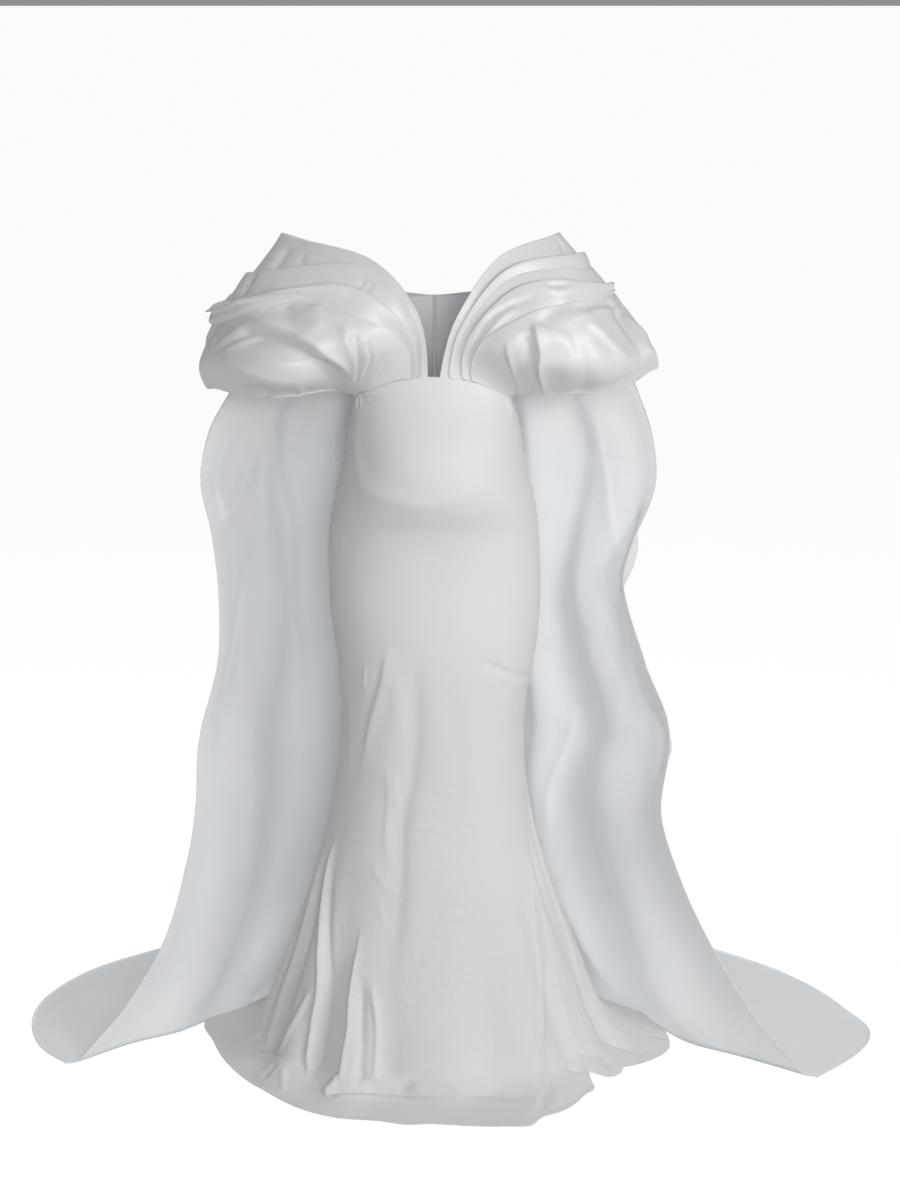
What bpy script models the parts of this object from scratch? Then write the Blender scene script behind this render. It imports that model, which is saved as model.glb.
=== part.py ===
"""Maternity wedding dress, hollow as it is worn, in metres with +Z up.

The wearer faces -Y. Left and right in the names are as seen from the front, so left is
at -X. The origin is the middle of the body at the empire seam, where the dress is held.
Every piece of cloth is one curved sheet with a real thickness. Its outer face follows
the tables below, whose heights are measured up from the floor and whose angles run from
the centre front, positive towards +X.
"""
import bpy
import bmesh
import numpy as np

HOLD_HEIGHT = 1.300        # the origin, measured up from the floor
CREPE = 0.0015             # wall of the stretch crepe skirt
ORGANZA = 0.0012           # wall of the satin organza
SEAM_GAP = 0.0003          # between pieces at a seam
FLARE_GAP = 0.0006         # at the skirt's long seams, whose walls lean into each other
CAPE_GAP = 0.0005          # at the cape's seam
BACK_LINE = 0.1085         # the sleeves and the bodice end in front of this, and the cape hangs on it

SEAM_SIDE = 1.270          # empire seam at the side seams
SEAM_RISE = 0.050          # how much higher it is at the centre front
ROUNDNESS = 2.25           # exponent of the body's sections, 2 is an ellipse

# The body that the cloth is cut for, one row for each height.
BODY = (
    ("height", "left", "right", "front", "back"),
    (1.480, 0.168, 0.168, 0.150, 0.1080),
    (1.440, 0.165, 0.165, 0.150, 0.1080),
    (1.400, 0.160, 0.160, 0.150, 0.1050),
    (1.320, 0.148, 0.147, 0.132, 0.1000),
    (1.270, 0.146, 0.144, 0.150, 0.0970),
    (1.210, 0.158, 0.157, 0.186, 0.094),
    (1.150, 0.166, 0.166, 0.200, 0.096),
    (1.090, 0.180, 0.181, 0.186, 0.108),
    (1.040, 0.191, 0.190, 0.160, 0.124),
    (0.960, 0.196, 0.196, 0.143, 0.142),
    (0.870, 0.194, 0.197, 0.143, 0.146),
    (0.770, 0.181, 0.186, 0.143, 0.138),
    (0.690, 0.176, 0.171, 0.140, 0.128),
    (0.580, 0.181, 0.170, 0.140, 0.128),
    (0.440, 0.207, 0.191, 0.152, 0.145),
    (0.320, 0.241, 0.228, 0.174, 0.172),
    (0.200, 0.282, 0.268, 0.205, 0.207),
    (0.100, 0.316, 0.302, 0.236, 0.238),
    (0.040, 0.337, 0.330, 0.258, 0.262),
)

# Distances from the body's axis on the floor, one row for each angle.
FLOOR = (
    ("angle", "hem"),
    (-180, 0.400), (-150, 0.392), (-135, 0.374), (-124, 0.376), (-116, 0.394),
    (-108, 0.412), (-101, 0.450),
    (-88, 0.432), (-74, 0.410), (-61, 0.402), (-49, 0.395), (-35, 0.400),
    (-22, 0.384), (-8, 0.382), (0, 0.372), (9, 0.389), (22, 0.412),
    (30, 0.398), (41, 0.386), (49, 0.372), (56, 0.372), (64, 0.392),
    (74, 0.402), (84, 0.448), (92, 0.443), (99, 0.426), (107, 0.412),
    (113, 0.392), (119, 0.370), (135, 0.362), (150, 0.388), (180, 0.400),
)

# Soft folds of the skirt: outwards where the depth is positive.
SKIRT_FOLDS = (
    ("angle_top", "angle_floor", "half_width", "depth", "starts"),
    (-78, -84, 9, 0.010, 0.42),
    (-62, -66, 7, -0.012, 0.46),
    (-52, -52, 8, 0.013, 0.50),
    (-38, -40, 6, -0.012, 0.38),
    (-27, -25, 7, 0.016, 0.34),
    (-12, -13, 6, -0.010, 0.26),
    (2, 1, 8, 0.008, 0.22),
    (16, 17, 7, -0.009, 0.30),
    (31, 33, 8, 0.010, 0.36),
    (46, 50, 6, -0.014, 0.48),
    (58, 64, 7, 0.014, 0.50),
    (70, 76, 6, -0.009, 0.44),
    (84, 90, 8, 0.012, 0.40),
    (104, 106, 8, -0.012, 0.44),
    (121, 124, 9, 0.014, 0.46),
    (140, 142, 8, -0.012, 0.44),
    (160, 160, 9, 0.012, 0.40),
    (180, 180, 8, -0.010, 0.42),
    (-180, -180, 8, -0.010, 0.42),
    (-160, -160, 9, 0.013, 0.44),
    (-139, -141, 8, -0.012, 0.42),
    (-120, -122, 9, 0.014, 0.46),
    (-100, -102, 8, -0.011, 0.42),
)

# Gathers drawn up along the side seams below the empire seam.
GATHERS = 9
GATHER_TOP = 1.262
GATHER_LOW = 1.010
GATHER_DEPTH = 0.0035
GATHER_SPREAD = 15         # how far they run from the side seam, in degrees

WALL_FOOT = 0.040          # height at which the skirt turns out onto the floor
TURN = 0.060               # length of floor over which it comes down
LANDING = 2.2              # above 1, it comes down early and lies flat for longer
RIPPLE = 0.35              # how much of a fold's depth is left where it lies

# The draped bodice and sleeve, one row for each section from the empire seam,
# over the bust and round the arm, to the back seam. A section runs from its top
# edge to its low edge and stands out from the straight line by its swell.
SLEEVE_COLUMNS = ("along", "top_x", "top_y", "top_z", "low_x", "low_y", "low_z",
                  "swell_x", "swell_y", "swell_z")
SLEEVES = {
    "left": (
        (0.00, -0.006, -0.130, 1.321, -0.146, 0.000, 1.271, -0.027, -0.030, 0.000),
        (0.18, -0.027, -0.152, 1.436, -0.197, -0.080, 1.290, -0.002, -0.072, 0.020),
        (0.38, -0.108, -0.118, 1.527, -0.278, -0.105, 1.282, -0.038, -0.072, 0.012),
        (0.56, -0.225, -0.058, 1.556, -0.365, -0.062, 1.284, -0.044, -0.046, 0.010),
        (0.70, -0.276, 0.000, 1.563, -0.408, 0.000, 1.292, -0.040, -0.008, 0.002),
        (0.85, -0.226, 0.098, 1.515, -0.345, 0.085, 1.304, -0.040, 0.026, 0.000),
        (1.00, -0.118, 0.106, 1.452, -0.146, 0.068, 1.306, -0.014, 0.020, 0.000),
    ),
    "right": (
        (0.00, 0.008, -0.130, 1.321, 0.144, 0.000, 1.271, 0.027, -0.030, 0.000),
        (0.18, 0.038, -0.152, 1.424, 0.193, -0.075, 1.290, 0.002, -0.072, 0.020),
        (0.38, 0.114, -0.118, 1.531, 0.275, -0.105, 1.286, 0.036, -0.072, 0.012),
        (0.56, 0.206, -0.048, 1.562, 0.356, -0.060, 1.298, 0.034, -0.044, 0.008),
        (0.70, 0.228, 0.006, 1.562, 0.398, 0.000, 1.326, 0.026, -0.008, 0.002),
        (0.85, 0.206, 0.098, 1.515, 0.340, 0.085, 1.322, 0.036, 0.026, 0.000),
        (1.00, 0.118, 0.106, 1.452, 0.144, 0.068, 1.306, 0.014, 0.020, 0.000),
    ),
}

# Knife pleats whose folded edges face the neckline: where each edge lies between
# the top and the low edge at the seam, over the bust and at the arm, how deep the
# step is at the seam and at the arm, and between which places along the sleeve.
PLEAT_COLUMNS = ("at_seam", "at_bust", "at_arm", "deep_seam", "deep_arm", "starts", "fades")
PLEATS = {
    "left": (
        (0.05, 0.035, 0.28, 0.0032, 0.010, -0.20, 1.20),
        (0.12, 0.19, 0.48, 0.0032, 0.027, -0.20, 1.20),
        (0.21, 0.35, 0.62, 0.0032, 0.008, -0.20, 0.48),
    ),
    "right": (
        (0.08, 0.06, 0.12, 0.0032, 0.010, -0.20, 1.20),
        (0.15, 0.13, 0.25, 0.0032, 0.009, 0.30, 1.20),
        (0.17, 0.21, 0.41, 0.0032, 0.012, -0.20, 1.20),
        (0.28, 0.34, 0.52, 0.0032, 0.008, -0.20, 0.50),
    ),
}
BUST = 0.30                # places along a sleeve that the pleats' table names
ARM = 0.70
SPREADS_BY = 0.55          # where the pleats have their full depth
FADES_OVER = 0.16          # how long a pleat takes to start and to fade
BACK_PRESSED = 0.97        # where all pleats are pressed flat before the back seam
LAP_SEAM = 0.022           # how far a pleat laps over the cloth above it, as a share
LAP_ARM = 0.045            # of the section's length, at the seam and at the arm
TURN_IN = 0.006            # half the width of a pleat's edge where it has no lap

# Broad soft folds of the sleeves, each a line from one place to another, given
# along and across the sheet, outwards where the depth is positive.
DRAPE_COLUMNS = ("along_a", "across_a", "along_b", "across_b", "half_width", "depth")
DRAPES = {
    "left": (
        (0.03, 0.95, 0.50, 0.69, 0.026, -0.026),
        (0.50, 0.69, 0.68, 0.62, 0.022, -0.014),
        (0.05, 0.80, 0.30, 0.56, 0.016, -0.008),
        (0.10, 0.90, 0.38, 0.66, 0.018, 0.008),
        (0.26, 0.94, 0.62, 0.84, 0.036, 0.014),
        (0.64, 0.80, 0.74, 0.70, 0.016, 0.008),
    ),
    "right": (
        (0.40, 0.70, 0.62, 0.62, 0.022, -0.011),
        (0.26, 0.68, 0.20, 0.99, 0.018, 0.012),
        (0.14, 0.68, 0.06, 0.99, 0.014, 0.008),
        (0.20, 0.72, 0.13, 0.99, 0.018, -0.008),
        (0.36, 0.76, 0.33, 0.99, 0.030, -0.010),
        (0.45, 0.70, 0.50, 0.98, 0.024, 0.012),
    ),
}
SHEET_LONG = 0.75          # length of a sleeve along its pleats
SHEET_WIDE = 0.33          # length of its sections
NARROW_START = 0.6         # width of a broad fold where it starts, as a share
SWELL_LOW = 1.5            # above 1, the swell sits below the middle of a section
SEAM_START = 3.0           # angle from the centre front at which each side's drape starts
HEM_ROLL = 0.026           # how far a sleeve's low edge is turned in and up
ARM_X = 0.26               # middle of the arm's opening

# The cape, one row for each height: how far it stands behind the body's axis at
# the centre back, where its two free edges are, and how it bends round to them:
# above 2 it stays back for longer, at 1 it runs straight to them.
CAPE = (
    ("height", "back", "left_x", "left_y", "right_x", "right_y", "bend"),
    (1.500, 0.110, -0.330, 0.110, 0.330, 0.110, 2.4),
    (1.400, 0.110, -0.345, 0.110, 0.345, 0.110, 2.4),
    (1.300, 0.118, -0.362, 0.110, 0.366, 0.110, 2.4),
    (1.180, 0.140, -0.425, 0.114, 0.408, 0.110, 2.4),
    (1.090, 0.162, -0.442, 0.116, 0.418, 0.110, 2.3),
    (0.980, 0.188, -0.423, 0.116, 0.388, 0.104, 2.2),
    (0.880, 0.208, -0.413, 0.112, 0.368, 0.098, 2.2),
    (0.740, 0.238, -0.416, 0.102, 0.402, 0.090, 2.1),
    (0.580, 0.272, -0.455, 0.088, 0.460, 0.074, 1.9),
    (0.450, 0.302, -0.463, 0.070, 0.436, 0.054, 1.8),
    (0.330, 0.334, -0.484, 0.046, 0.470, 0.028, 1.6),
    (0.180, 0.384, -0.535, 0.000, 0.546, -0.030, 1.45),
    (0.070, 0.432, -0.610, -0.052, 0.622, -0.095, 1.32),
    (0.000, 0.462, -0.682, -0.105, 0.698, -0.165, 1.25),
)

SEATED = (1.200, 1.310)    # from hanging free to lying flat on the sleeves' backs
FOLDS_LIE_DOWN = 0.10      # share of its length over which its folds end at the floor
SETTLES = 0.30             # height from which the cape comes round to its line on the floor

# The cape's line on the floor, from its left free edge to its right one.
GROUND = (
    ("across", "x", "y"),
    (0.00, -0.682, -0.105), (0.06, -0.588, -0.018), (0.12, -0.510, 0.034),
    (0.18, -0.455, 0.086), (0.25, -0.398, 0.142), (0.33, -0.345, 0.208),
    (0.42, -0.190, 0.368), (0.50, 0.000, 0.440), (0.58, 0.190, 0.368),
    (0.67, 0.338, 0.188), (0.75, 0.404, 0.134), (0.82, 0.442, 0.056),
    (0.88, 0.500, -0.020), (0.94, 0.590, -0.083), (1.00, 0.698, -0.165),
)

# The cape's top line: how high it is sewn on, from its free edge to the centre back.
CAPE_TOP = (
    ("inwards", "height"),
    (0.0, 1.385), (0.16, 1.455), (0.36, 1.494), (0.62, 1.458), (1.0, 1.438),
)

# The train: at which angle and how far from the body's axis its hem lies.
TRAIN = (
    ("across", "angle", "reach"),
    (0.00, -81.0, 0.712), (0.05, -88.0, 0.768), (0.11, -100.0, 0.813),
    (0.18, -114.0, 0.805), (0.26, -130.0, 0.752), (0.36, -152.0, 0.735),
    (0.50, -180.0, 0.760), (0.64, -208.0, 0.735), (0.74, -230.0, 0.752),
    (0.82, -246.0, 0.800), (0.89, -259.0, 0.832), (0.95, -270.0, 0.846),
    (1.00, -283.5, 0.742),
)

# Hanging folds of the cape: where each lies across the sheet, its half width
# there, its depth at the top and at the floor.
CAPE_FOLDS = (
    ("across", "half_width", "top_depth", "low_depth"),
    (0.045, 0.030, 0.008, 0.012),
    (0.110, 0.036, -0.014, -0.024),
    (0.185, 0.036, 0.014, 0.026),
    (0.265, 0.036, -0.012, -0.024),
    (0.345, 0.036, 0.012, 0.026),
    (0.420, 0.034, -0.008, -0.022),
    (0.500, 0.036, 0.008, 0.024),
    (0.580, 0.034, -0.008, -0.022),
    (0.655, 0.036, 0.012, 0.026),
    (0.735, 0.036, -0.012, -0.024),
    (0.815, 0.036, 0.014, 0.024),
    (0.890, 0.034, -0.014, -0.020),
    (0.955, 0.030, 0.008, 0.010),
)

# The back of the bodice.
BAND_TOP_SIDE = 1.405
BAND_TOP_BACK = 1.440


def curve(table, at, name):
    """A named column of a table, read as a smooth curve over its first column."""
    column = table[0].index(name)
    rows = np.array(table[1:], float)
    order = np.argsort(rows[:, 0])
    x, y = rows[order, 0], rows[order, column]
    slope = np.gradient(y, x)
    at = np.clip(at, x[0], x[-1])
    i = np.clip(np.searchsorted(x, at) - 1, 0, len(x) - 2)
    step = x[i + 1] - x[i]
    t = (at - x[i]) / step
    return (
        y[i] * (1 + 2 * t) * (1 - t) ** 2
        + slope[i] * step * t * (1 - t) ** 2
        + y[i + 1] * t * t * (3 - 2 * t)
        + slope[i + 1] * step * t * t * (t - 1)
    )


def ease(t):
    """0 below 0, 1 above 1 and a smooth rise between them."""
    t = np.clip(t, 0.0, 1.0)
    return t * t * (3 - 2 * t)


def bump(distance, half_width):
    return np.exp(-((distance / half_width) ** 2))


def points(x, y, height):
    """Points of the part from heights above the floor."""
    return np.stack(np.broadcast_arrays(x, y, height - HOLD_HEIGHT), axis=-1)


def power(value, exponent):
    return np.sign(value) * np.abs(value) ** exponent


def body(angle, height, out=0.0):
    """x and y of the body at an angle and a height, moved out by a distance."""
    turn = np.radians(angle)
    sine, cosine = np.sin(turn), np.cos(turn)
    left, right = curve(BODY, height, "left"), curve(BODY, height, "right")
    front, back = curve(BODY, height, "front"), curve(BODY, height, "back")
    wide = np.where(sine < 0, left, right) + out
    deep = np.where(cosine > 0, front, back) + out
    return wide * power(sine, 2 / ROUNDNESS), -deep * power(cosine, 2 / ROUNDNESS)


def seam_height(angle):
    """The empire seam: highest at the centre front, level round the back."""
    return SEAM_SIDE + SEAM_RISE * np.clip(np.cos(np.radians(angle)), 0, 1) ** 2


def apart(angle, other):
    return (angle - other + 180) % 360 - 180


def skirt_folds(angle, height):
    """How far the skirt's folds stand out at an angle and a height."""
    total = np.zeros(np.broadcast(angle, height).shape)
    for top, low, width, depth, starts in SKIRT_FOLDS[1:]:
        grown = ease((starts - height) / starts)
        middle = top + (low - top) * grown
        total = total + depth * grown * bump(apart(angle, middle), width)
    return total


def gathers(angle, height):
    """Small cross folds along both side seams."""
    near = bump(np.abs(apart(np.abs(angle), 90)), GATHER_SPREAD)
    down = (GATHER_TOP - height) / (GATHER_TOP - GATHER_LOW)
    inside = ease(down * 12) * ease((1 - down) * 6)
    return GATHER_DEPTH * near * inside * np.cos(2 * np.pi * GATHERS * down)


def skirt(angle, down):
    """The skirt's outer face: down runs from 0 at the seam to 1 at the floor turn
    and on to 2 at the hem."""
    wall = np.clip(down, 0, 1)
    height = seam_height(angle) - SEAM_GAP / 2
    height = height + (WALL_FOOT - height) * wall
    out = gathers(angle, height) + skirt_folds(angle, height)
    x, y = body(angle, height, out)
    lie = np.clip(down - 1, 0, 1)
    reach = np.hypot(x, y)
    hem = curve(FLOOR, np.broadcast_to(angle, x.shape), "hem")
    room = hem - reach
    far = reach + room * lie
    heading = np.arctan2(x, -y)
    target = np.radians(angle)
    heading = heading + (target - heading) * ease(lie)
    laid = CREPE + SEAM_GAP
    folds_here = skirt_folds(angle, np.full(x.shape, WALL_FOOT))
    ripple = RIPPLE * np.clip(folds_here, 0, 1) * (1 - lie)
    settled = np.clip(1 - room * lie / TURN, 0, 1) ** LANDING
    low = laid + ripple * (1 - settled) + (WALL_FOOT - laid) * settled
    x = np.where(down > 1, far * np.sin(heading), x)
    y = np.where(down > 1, -far * np.cos(heading), y)
    return points(x, y, np.where(down > 1, low, height))


def pleat(side, number, along):
    """Where a pleat's edge lies across the sheet, how deep it steps and how far it
    laps over the cloth above it."""
    row = dict(zip(PLEAT_COLUMNS, PLEATS[side][number]))
    to_bust = ease(along / BUST)
    to_arm = ease((along - BUST) / (ARM - BUST))
    edge = row["at_seam"] + (row["at_bust"] - row["at_seam"]) * to_bust
    edge = edge + (row["at_arm"] - row["at_bust"]) * to_arm
    spread_out = ease(along / SPREADS_BY)
    held = ease((along - row["starts"]) / FADES_OVER)
    held = held * ease((row["fades"] - along) / FADES_OVER)
    held = held * ease((BACK_PRESSED - along) / 0.12)
    deep = (row["deep_seam"] + (row["deep_arm"] - row["deep_seam"]) * spread_out) * held
    lap = (LAP_SEAM + (LAP_ARM - LAP_SEAM) * spread_out) * held
    return edge, deep, lap


def pleated(side, along, strip, share):
    """Across and stand-off of the pleated sheet. A strip is the cloth from one
    pleat's edge to the next, and share runs from 0 to 1 over it."""
    last = len(PLEATS[side])
    across = np.zeros(np.broadcast(along, strip).shape)
    stand = np.zeros(across.shape)
    for number in range(last + 1):
        start, end, deep, fall = 0.0, 1.0, 0.0, 1.0
        if number > 0:
            edge, deep, _ = pleat(side, number - 1, along)
            start = edge + TURN_IN
        if number < last:
            edge, _, lap = pleat(side, number, along)
            end = edge + lap - TURN_IN
        else:
            fall = 2.5
        here = strip == number
        across = np.where(here, start + (end - start) * share, across)
        stand = np.where(here, deep * np.clip(1 - fall * share, 0, 1), stand)
    return across, stand


def soft_folds(side, along, across):
    """How far the broad folds stand out, each a soft ridge or trough on its line."""
    total = np.zeros(np.broadcast(along, across).shape)
    for values in DRAPES[side]:
        row = dict(zip(DRAPE_COLUMNS, values))
        run_x = (row["along_b"] - row["along_a"]) * SHEET_LONG
        run_y = (row["across_b"] - row["across_a"]) * SHEET_WIDE
        x = (along - row["along_a"]) * SHEET_LONG
        y = (across - row["across_a"]) * SHEET_WIDE
        share = np.clip((x * run_x + y * run_y) / (run_x**2 + run_y**2), 0, 1)
        gap = np.hypot(x - share * run_x, y - share * run_y)
        width = row["half_width"] * (NARROW_START + (1 - NARROW_START) * share)
        total = total + row["depth"] * bump(gap, width)
    return total


def sleeve_form(side, along, across):
    """The draped bodice and sleeve without pleats or folds: along runs from the
    empire seam to the back seam, across from the neckline to the low edge."""
    table = (SLEEVE_COLUMNS, *SLEEVES[side])
    swell = np.sin(np.pi * np.clip(across, 0, 1) ** SWELL_LOW)
    value = {}
    for axis in "xyz":
        top = curve(table, along, "top_" + axis)
        low = curve(table, along, "low_" + axis)
        stand = curve(table, along, "swell_" + axis)
        value[axis] = top + (low - top) * across + stand * swell
    way = -1 if side == "left" else 1
    seam_angle = way * (SEAM_START + (90 - SEAM_START) * across)
    seam_z = seam_height(seam_angle) + SEAM_GAP / 2
    seam_x, seam_y = body(seam_angle, seam_z)
    join = 1 - ease(along / 0.10)
    x = value["x"] + (seam_x - value["x"]) * join
    y = value["y"] + (seam_y - value["y"]) * join
    z = value["z"] + (seam_z - value["z"]) * join
    return points(x, y, z)


def sleeve(side, along, strip, share):
    """The pleated and draped sleeve. A strip past the last pleat's is the low edge
    rolled under."""
    last = len(PLEATS[side])
    across, stand = pleated(side, along, strip, share)
    across = np.where(strip > last, 1.0, across)
    small = 1e-3
    form = sleeve_form(side, along, across)
    run = sleeve_form(side, along + small, across) - sleeve_form(side, along - small, across)
    fall = form - sleeve_form(side, along, across - small)
    way = -1 if side == "left" else 1
    normal = way * np.cross(fall, run)
    normal /= np.linalg.norm(normal, axis=-1, keepdims=True)
    held = ease(along / 0.08) * ease((1 - along) / 0.08)
    stand = stand + soft_folds(side, along, across) * held
    grid = form + normal * stand[..., None]
    grid[..., 1] = stop_before(grid[..., 1], BACK_LINE, 0.010)
    return roll_under(grid, along, np.where(strip > last, share, 0.0))


def stop_before(value, limit, soft):
    """The value, bent so that it comes close to the limit and never passes it."""
    near = limit - soft
    return np.where(value > near, limit - soft * np.exp(-(value - near) / soft), value)


def roll_under(grid, along, share):
    """The low edge turned in and up: the points curl towards the arm's middle."""
    turn = share * np.pi * 0.8
    towards = np.zeros(grid.shape)
    towards[..., 0] = np.sign(grid[..., 0]) * ARM_X - grid[..., 0]
    towards[..., 1] = -grid[..., 1]
    towards /= np.maximum(np.linalg.norm(towards, axis=-1, keepdims=True), 1e-6)
    radius = HEM_ROLL * 0.5 * ease(along / 0.25) * ease((1 - along) / 0.25) + 0.003
    inward = radius * (1 - np.cos(turn))
    lift = radius * (np.sin(turn * 0.5) - np.sin(turn))
    grid = grid + towards * inward[..., None]
    grid[..., 2] += lift
    return grid


def cape_section(across, height):
    """x and y of the cape's arch round the back, without folds, at a height."""
    left = across < 0.5
    edge_x = np.where(left, curve(CAPE, height, "left_x"), curve(CAPE, height, "right_x"))
    edge_y = np.where(left, curve(CAPE, height, "left_y"), curve(CAPE, height, "right_y"))
    back = curve(CAPE, height, "back")
    out = np.abs(2 * across - 1)
    return edge_x * out, back + (edge_y - back) * out ** curve(CAPE, height, "bend")


def cape(across, down):
    """The cape: across runs from its left free edge behind the body to its right
    one, down from 0 at the top to 1 at the floor and on to 2 at the hem."""
    wall = np.clip(down, 0, 1)
    half = 1 - np.abs(2 * across - 1)
    top = curve(CAPE_TOP, half, "height")
    lying = ORGANZA + SEAM_GAP
    height = top + (lying - top) * wall
    x, y = cape_section(across, height)
    floor_x, floor_y = cape_section(across, 0.0)
    settled = ease(1 - height / SETTLES)
    x = x + (curve(GROUND, across, "x") - floor_x) * settled
    y = y + (curve(GROUND, across, "y") - floor_y) * settled
    hangs, lies_flat = SEATED
    seated = ease((height - hangs) / (lies_flat - hangs))
    y = y + (BACK_LINE + SEAM_GAP + ORGANZA - y) * seated
    folds = np.zeros(x.shape)
    for middle, width, top_depth, low_depth in CAPE_FOLDS[1:]:
        depth = top_depth + (low_depth - top_depth) * wall
        folds = folds + depth * bump(across - middle, width)
    folds = np.where(folds > 0, folds * (1 - 0.7 * seated), folds * (1 - seated))
    folds = folds * ease((1 - wall) / FOLDS_LIE_DOWN + 0.25)
    reach = np.hypot(x, y)
    x = x + folds * x / reach
    y = y + folds * y / reach
    lie = np.clip(down - 1, 0, 1)
    hem_angle = np.radians(curve(TRAIN, across, "angle"))
    hem_reach = curve(TRAIN, across, "reach")
    hem_x = hem_reach * np.sin(hem_angle)
    hem_y = -hem_reach * np.cos(hem_angle)
    x = x + (hem_x - x) * lie
    y = y + (hem_y - y) * lie
    return points(x, y, height)


def band(angle, up):
    """The back of the bodice, from the empire seam up to the back neckline."""
    low = SEAM_SIDE + SEAM_GAP / 2
    back = bump(apart(angle, 180), 70)
    top = BAND_TOP_SIDE + (BAND_TOP_BACK - BAND_TOP_SIDE) * back
    height = low + (top - low) * up
    x, y = body(angle, height)
    return points(x, y, height)


def material(name, colour, roughness):
    made = bpy.data.materials.new(name)
    made.use_nodes = True
    shader = made.node_tree.nodes["Principled BSDF"]
    shader.inputs["Base Color"].default_value = (*colour, 1.0)
    shader.inputs["Roughness"].default_value = roughness
    shader.inputs["Metallic"].default_value = 0.0
    return made


def cloth(name, grid, wall, finish, shift=(0, 0, 0), turned=False):
    """One piece of cloth: a flat grid bent to the given points, with its wall
    added on the inner side."""
    rows, columns = grid.shape[:2]
    shaped = bmesh.new()
    bmesh.ops.create_grid(
        shaped, x_segments=columns - 1, y_segments=rows - 1, size=0.5
    )
    for vertex in shaped.verts:
        i = round((vertex.co.y + 0.5) * (rows - 1))
        j = round((vertex.co.x + 0.5) * (columns - 1))
        vertex.co = grid[i, j] + np.array(shift)
    if turned:
        bmesh.ops.reverse_faces(shaped, faces=shaped.faces)
    mesh = bpy.data.meshes.new(name)
    shaped.to_mesh(mesh)
    shaped.free()
    mesh.shade_smooth()
    piece = bpy.data.objects.new(name, mesh)
    pieces.objects.link(piece)
    piece.parent = hold
    mesh.materials.append(finish)
    wall_of = piece.modifiers.new("wall", "SOLIDIFY")
    wall_of.thickness = wall
    wall_of.offset = -1.0
    wall_of.use_even_offset = False
    return piece


def spread(first, last, count):
    return np.linspace(first, last, count)


def skirt_levels():
    """Rows of the skirt: close together over the gathers, wider below them."""
    whole = SEAM_SIDE - WALL_FOOT
    rows = [0.0]
    for i in range(2 * GATHERS + 1):
        height = GATHER_TOP - (GATHER_TOP - GATHER_LOW) * i / (2 * GATHERS)
        rows.append((SEAM_SIDE - height) / whole)
    rows.extend(spread(rows[-1], 1.0, 14)[1:])
    rows.extend((1.16, 1.34, 1.6, 2.0))
    return np.array(rows)


def make_skirt(finish):
    levels = skirt_levels()
    down = levels[:, None]
    front = skirt(spread(-90, 90, 31)[None, :], down)
    cloth("skirt_front", front, CREPE, finish, (0, -FLARE_GAP / 2, 0), turned=True)
    for side, first, last in (("left", -180, -90), ("right", 90, 180)):
        way = -1 if side == "left" else 1
        panel = skirt(spread(first, last, 13)[None, :], down)
        shift = (way * FLARE_GAP / 2, FLARE_GAP / 2, 0)
        cloth("skirt_back_" + side, panel, CREPE, finish, shift, turned=True)


def sleeve_strips(side):
    """The rows across a sleeve, each the strip that it is in and its share of it."""
    last = len(PLEATS[side])
    rows = [(0, share) for share in (0.0, 0.5, 1.0)]
    for number in range(1, last):
        rows.extend((number, share) for share in (0.0, 0.5, 1.0))
    rows.extend((last, share) for share in spread(0.0, 1.0, 9))
    rows.extend((last + 1, share) for share in (0.35, 0.7, 1.0))
    strip, share = np.array(rows).T
    return strip[None, :], share[None, :]


def make_sleeves(finish):
    along = np.concatenate([spread(0, 0.1, 4), spread(0.1, 1.0, 18)[1:]])[:, None]
    for side in ("left", "right"):
        strip, share = sleeve_strips(side)
        grid = sleeve(side, along, strip, share)
        cloth("sleeve_" + side, grid, ORGANZA, finish, turned=side == "left")


def make_cape(finish):
    """Two widths of organza, sewn together down the centre back. A narrow column of
    faces beside the seam keeps the two walls square to it."""
    down = np.concatenate([spread(0, 1, 19), (1.12, 1.4, 1.7, 2.0)])[:, None]
    columns = {
        "left": (*spread(0, 0.499, 23), 0.5),
        "right": (0.5, *spread(0.501, 1, 23)),
    }
    for side, way in (("left", -1), ("right", 1)):
        half = cape(np.array(columns[side])[None, :], down)
        cloth("cape_" + side, half, ORGANZA, finish, (way * CAPE_GAP / 2, 0, 0))


def make_bodice_back(finish):
    up = spread(0, 1, 5)[:, None]
    for side, first, last in (("left", -180, -91), ("right", 91, 180)):
        way = -1 if side == "left" else 1
        panel = band(spread(first, last, 11)[None, :], up)
        shift = (way * SEAM_GAP / 2, 0, 0)
        cloth("bodice_back_" + side, panel, ORGANZA, finish, shift)


for old in list(bpy.data.objects):
    bpy.data.objects.remove(old, do_unlink=True)

pieces = bpy.data.collections.new("maternity_wedding_dress")
bpy.context.scene.collection.children.link(pieces)
hold = bpy.data.objects.new("hold", None)
pieces.objects.link(hold)

crepe = material("ivory_crepe", (0.90, 0.89, 0.875), 0.80)
organza = material("satin_organza", (0.86, 0.875, 0.88), 0.42)
make_skirt(crepe)
make_sleeves(organza)
make_bodice_back(organza)
make_cape(organza)
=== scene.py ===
# %% [markdown]
# # A maternity wedding dress
#
# The dress is a fitted crepe skirt that flares at the floor, two pleated organza drapes
# that cross the bust and turn into off-shoulder sleeves, and a long organza cape with a
# train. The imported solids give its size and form. This script remakes every sheet with
# finer folds, gives it its finish, and lights it as in a studio.
#
# All lengths are metres. The wearer faces -Y, and left and right are as seen from the
# front. Heights are measured up from the floor, and the origin is HOLD_HEIGHT above it.

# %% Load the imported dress
import math

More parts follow.
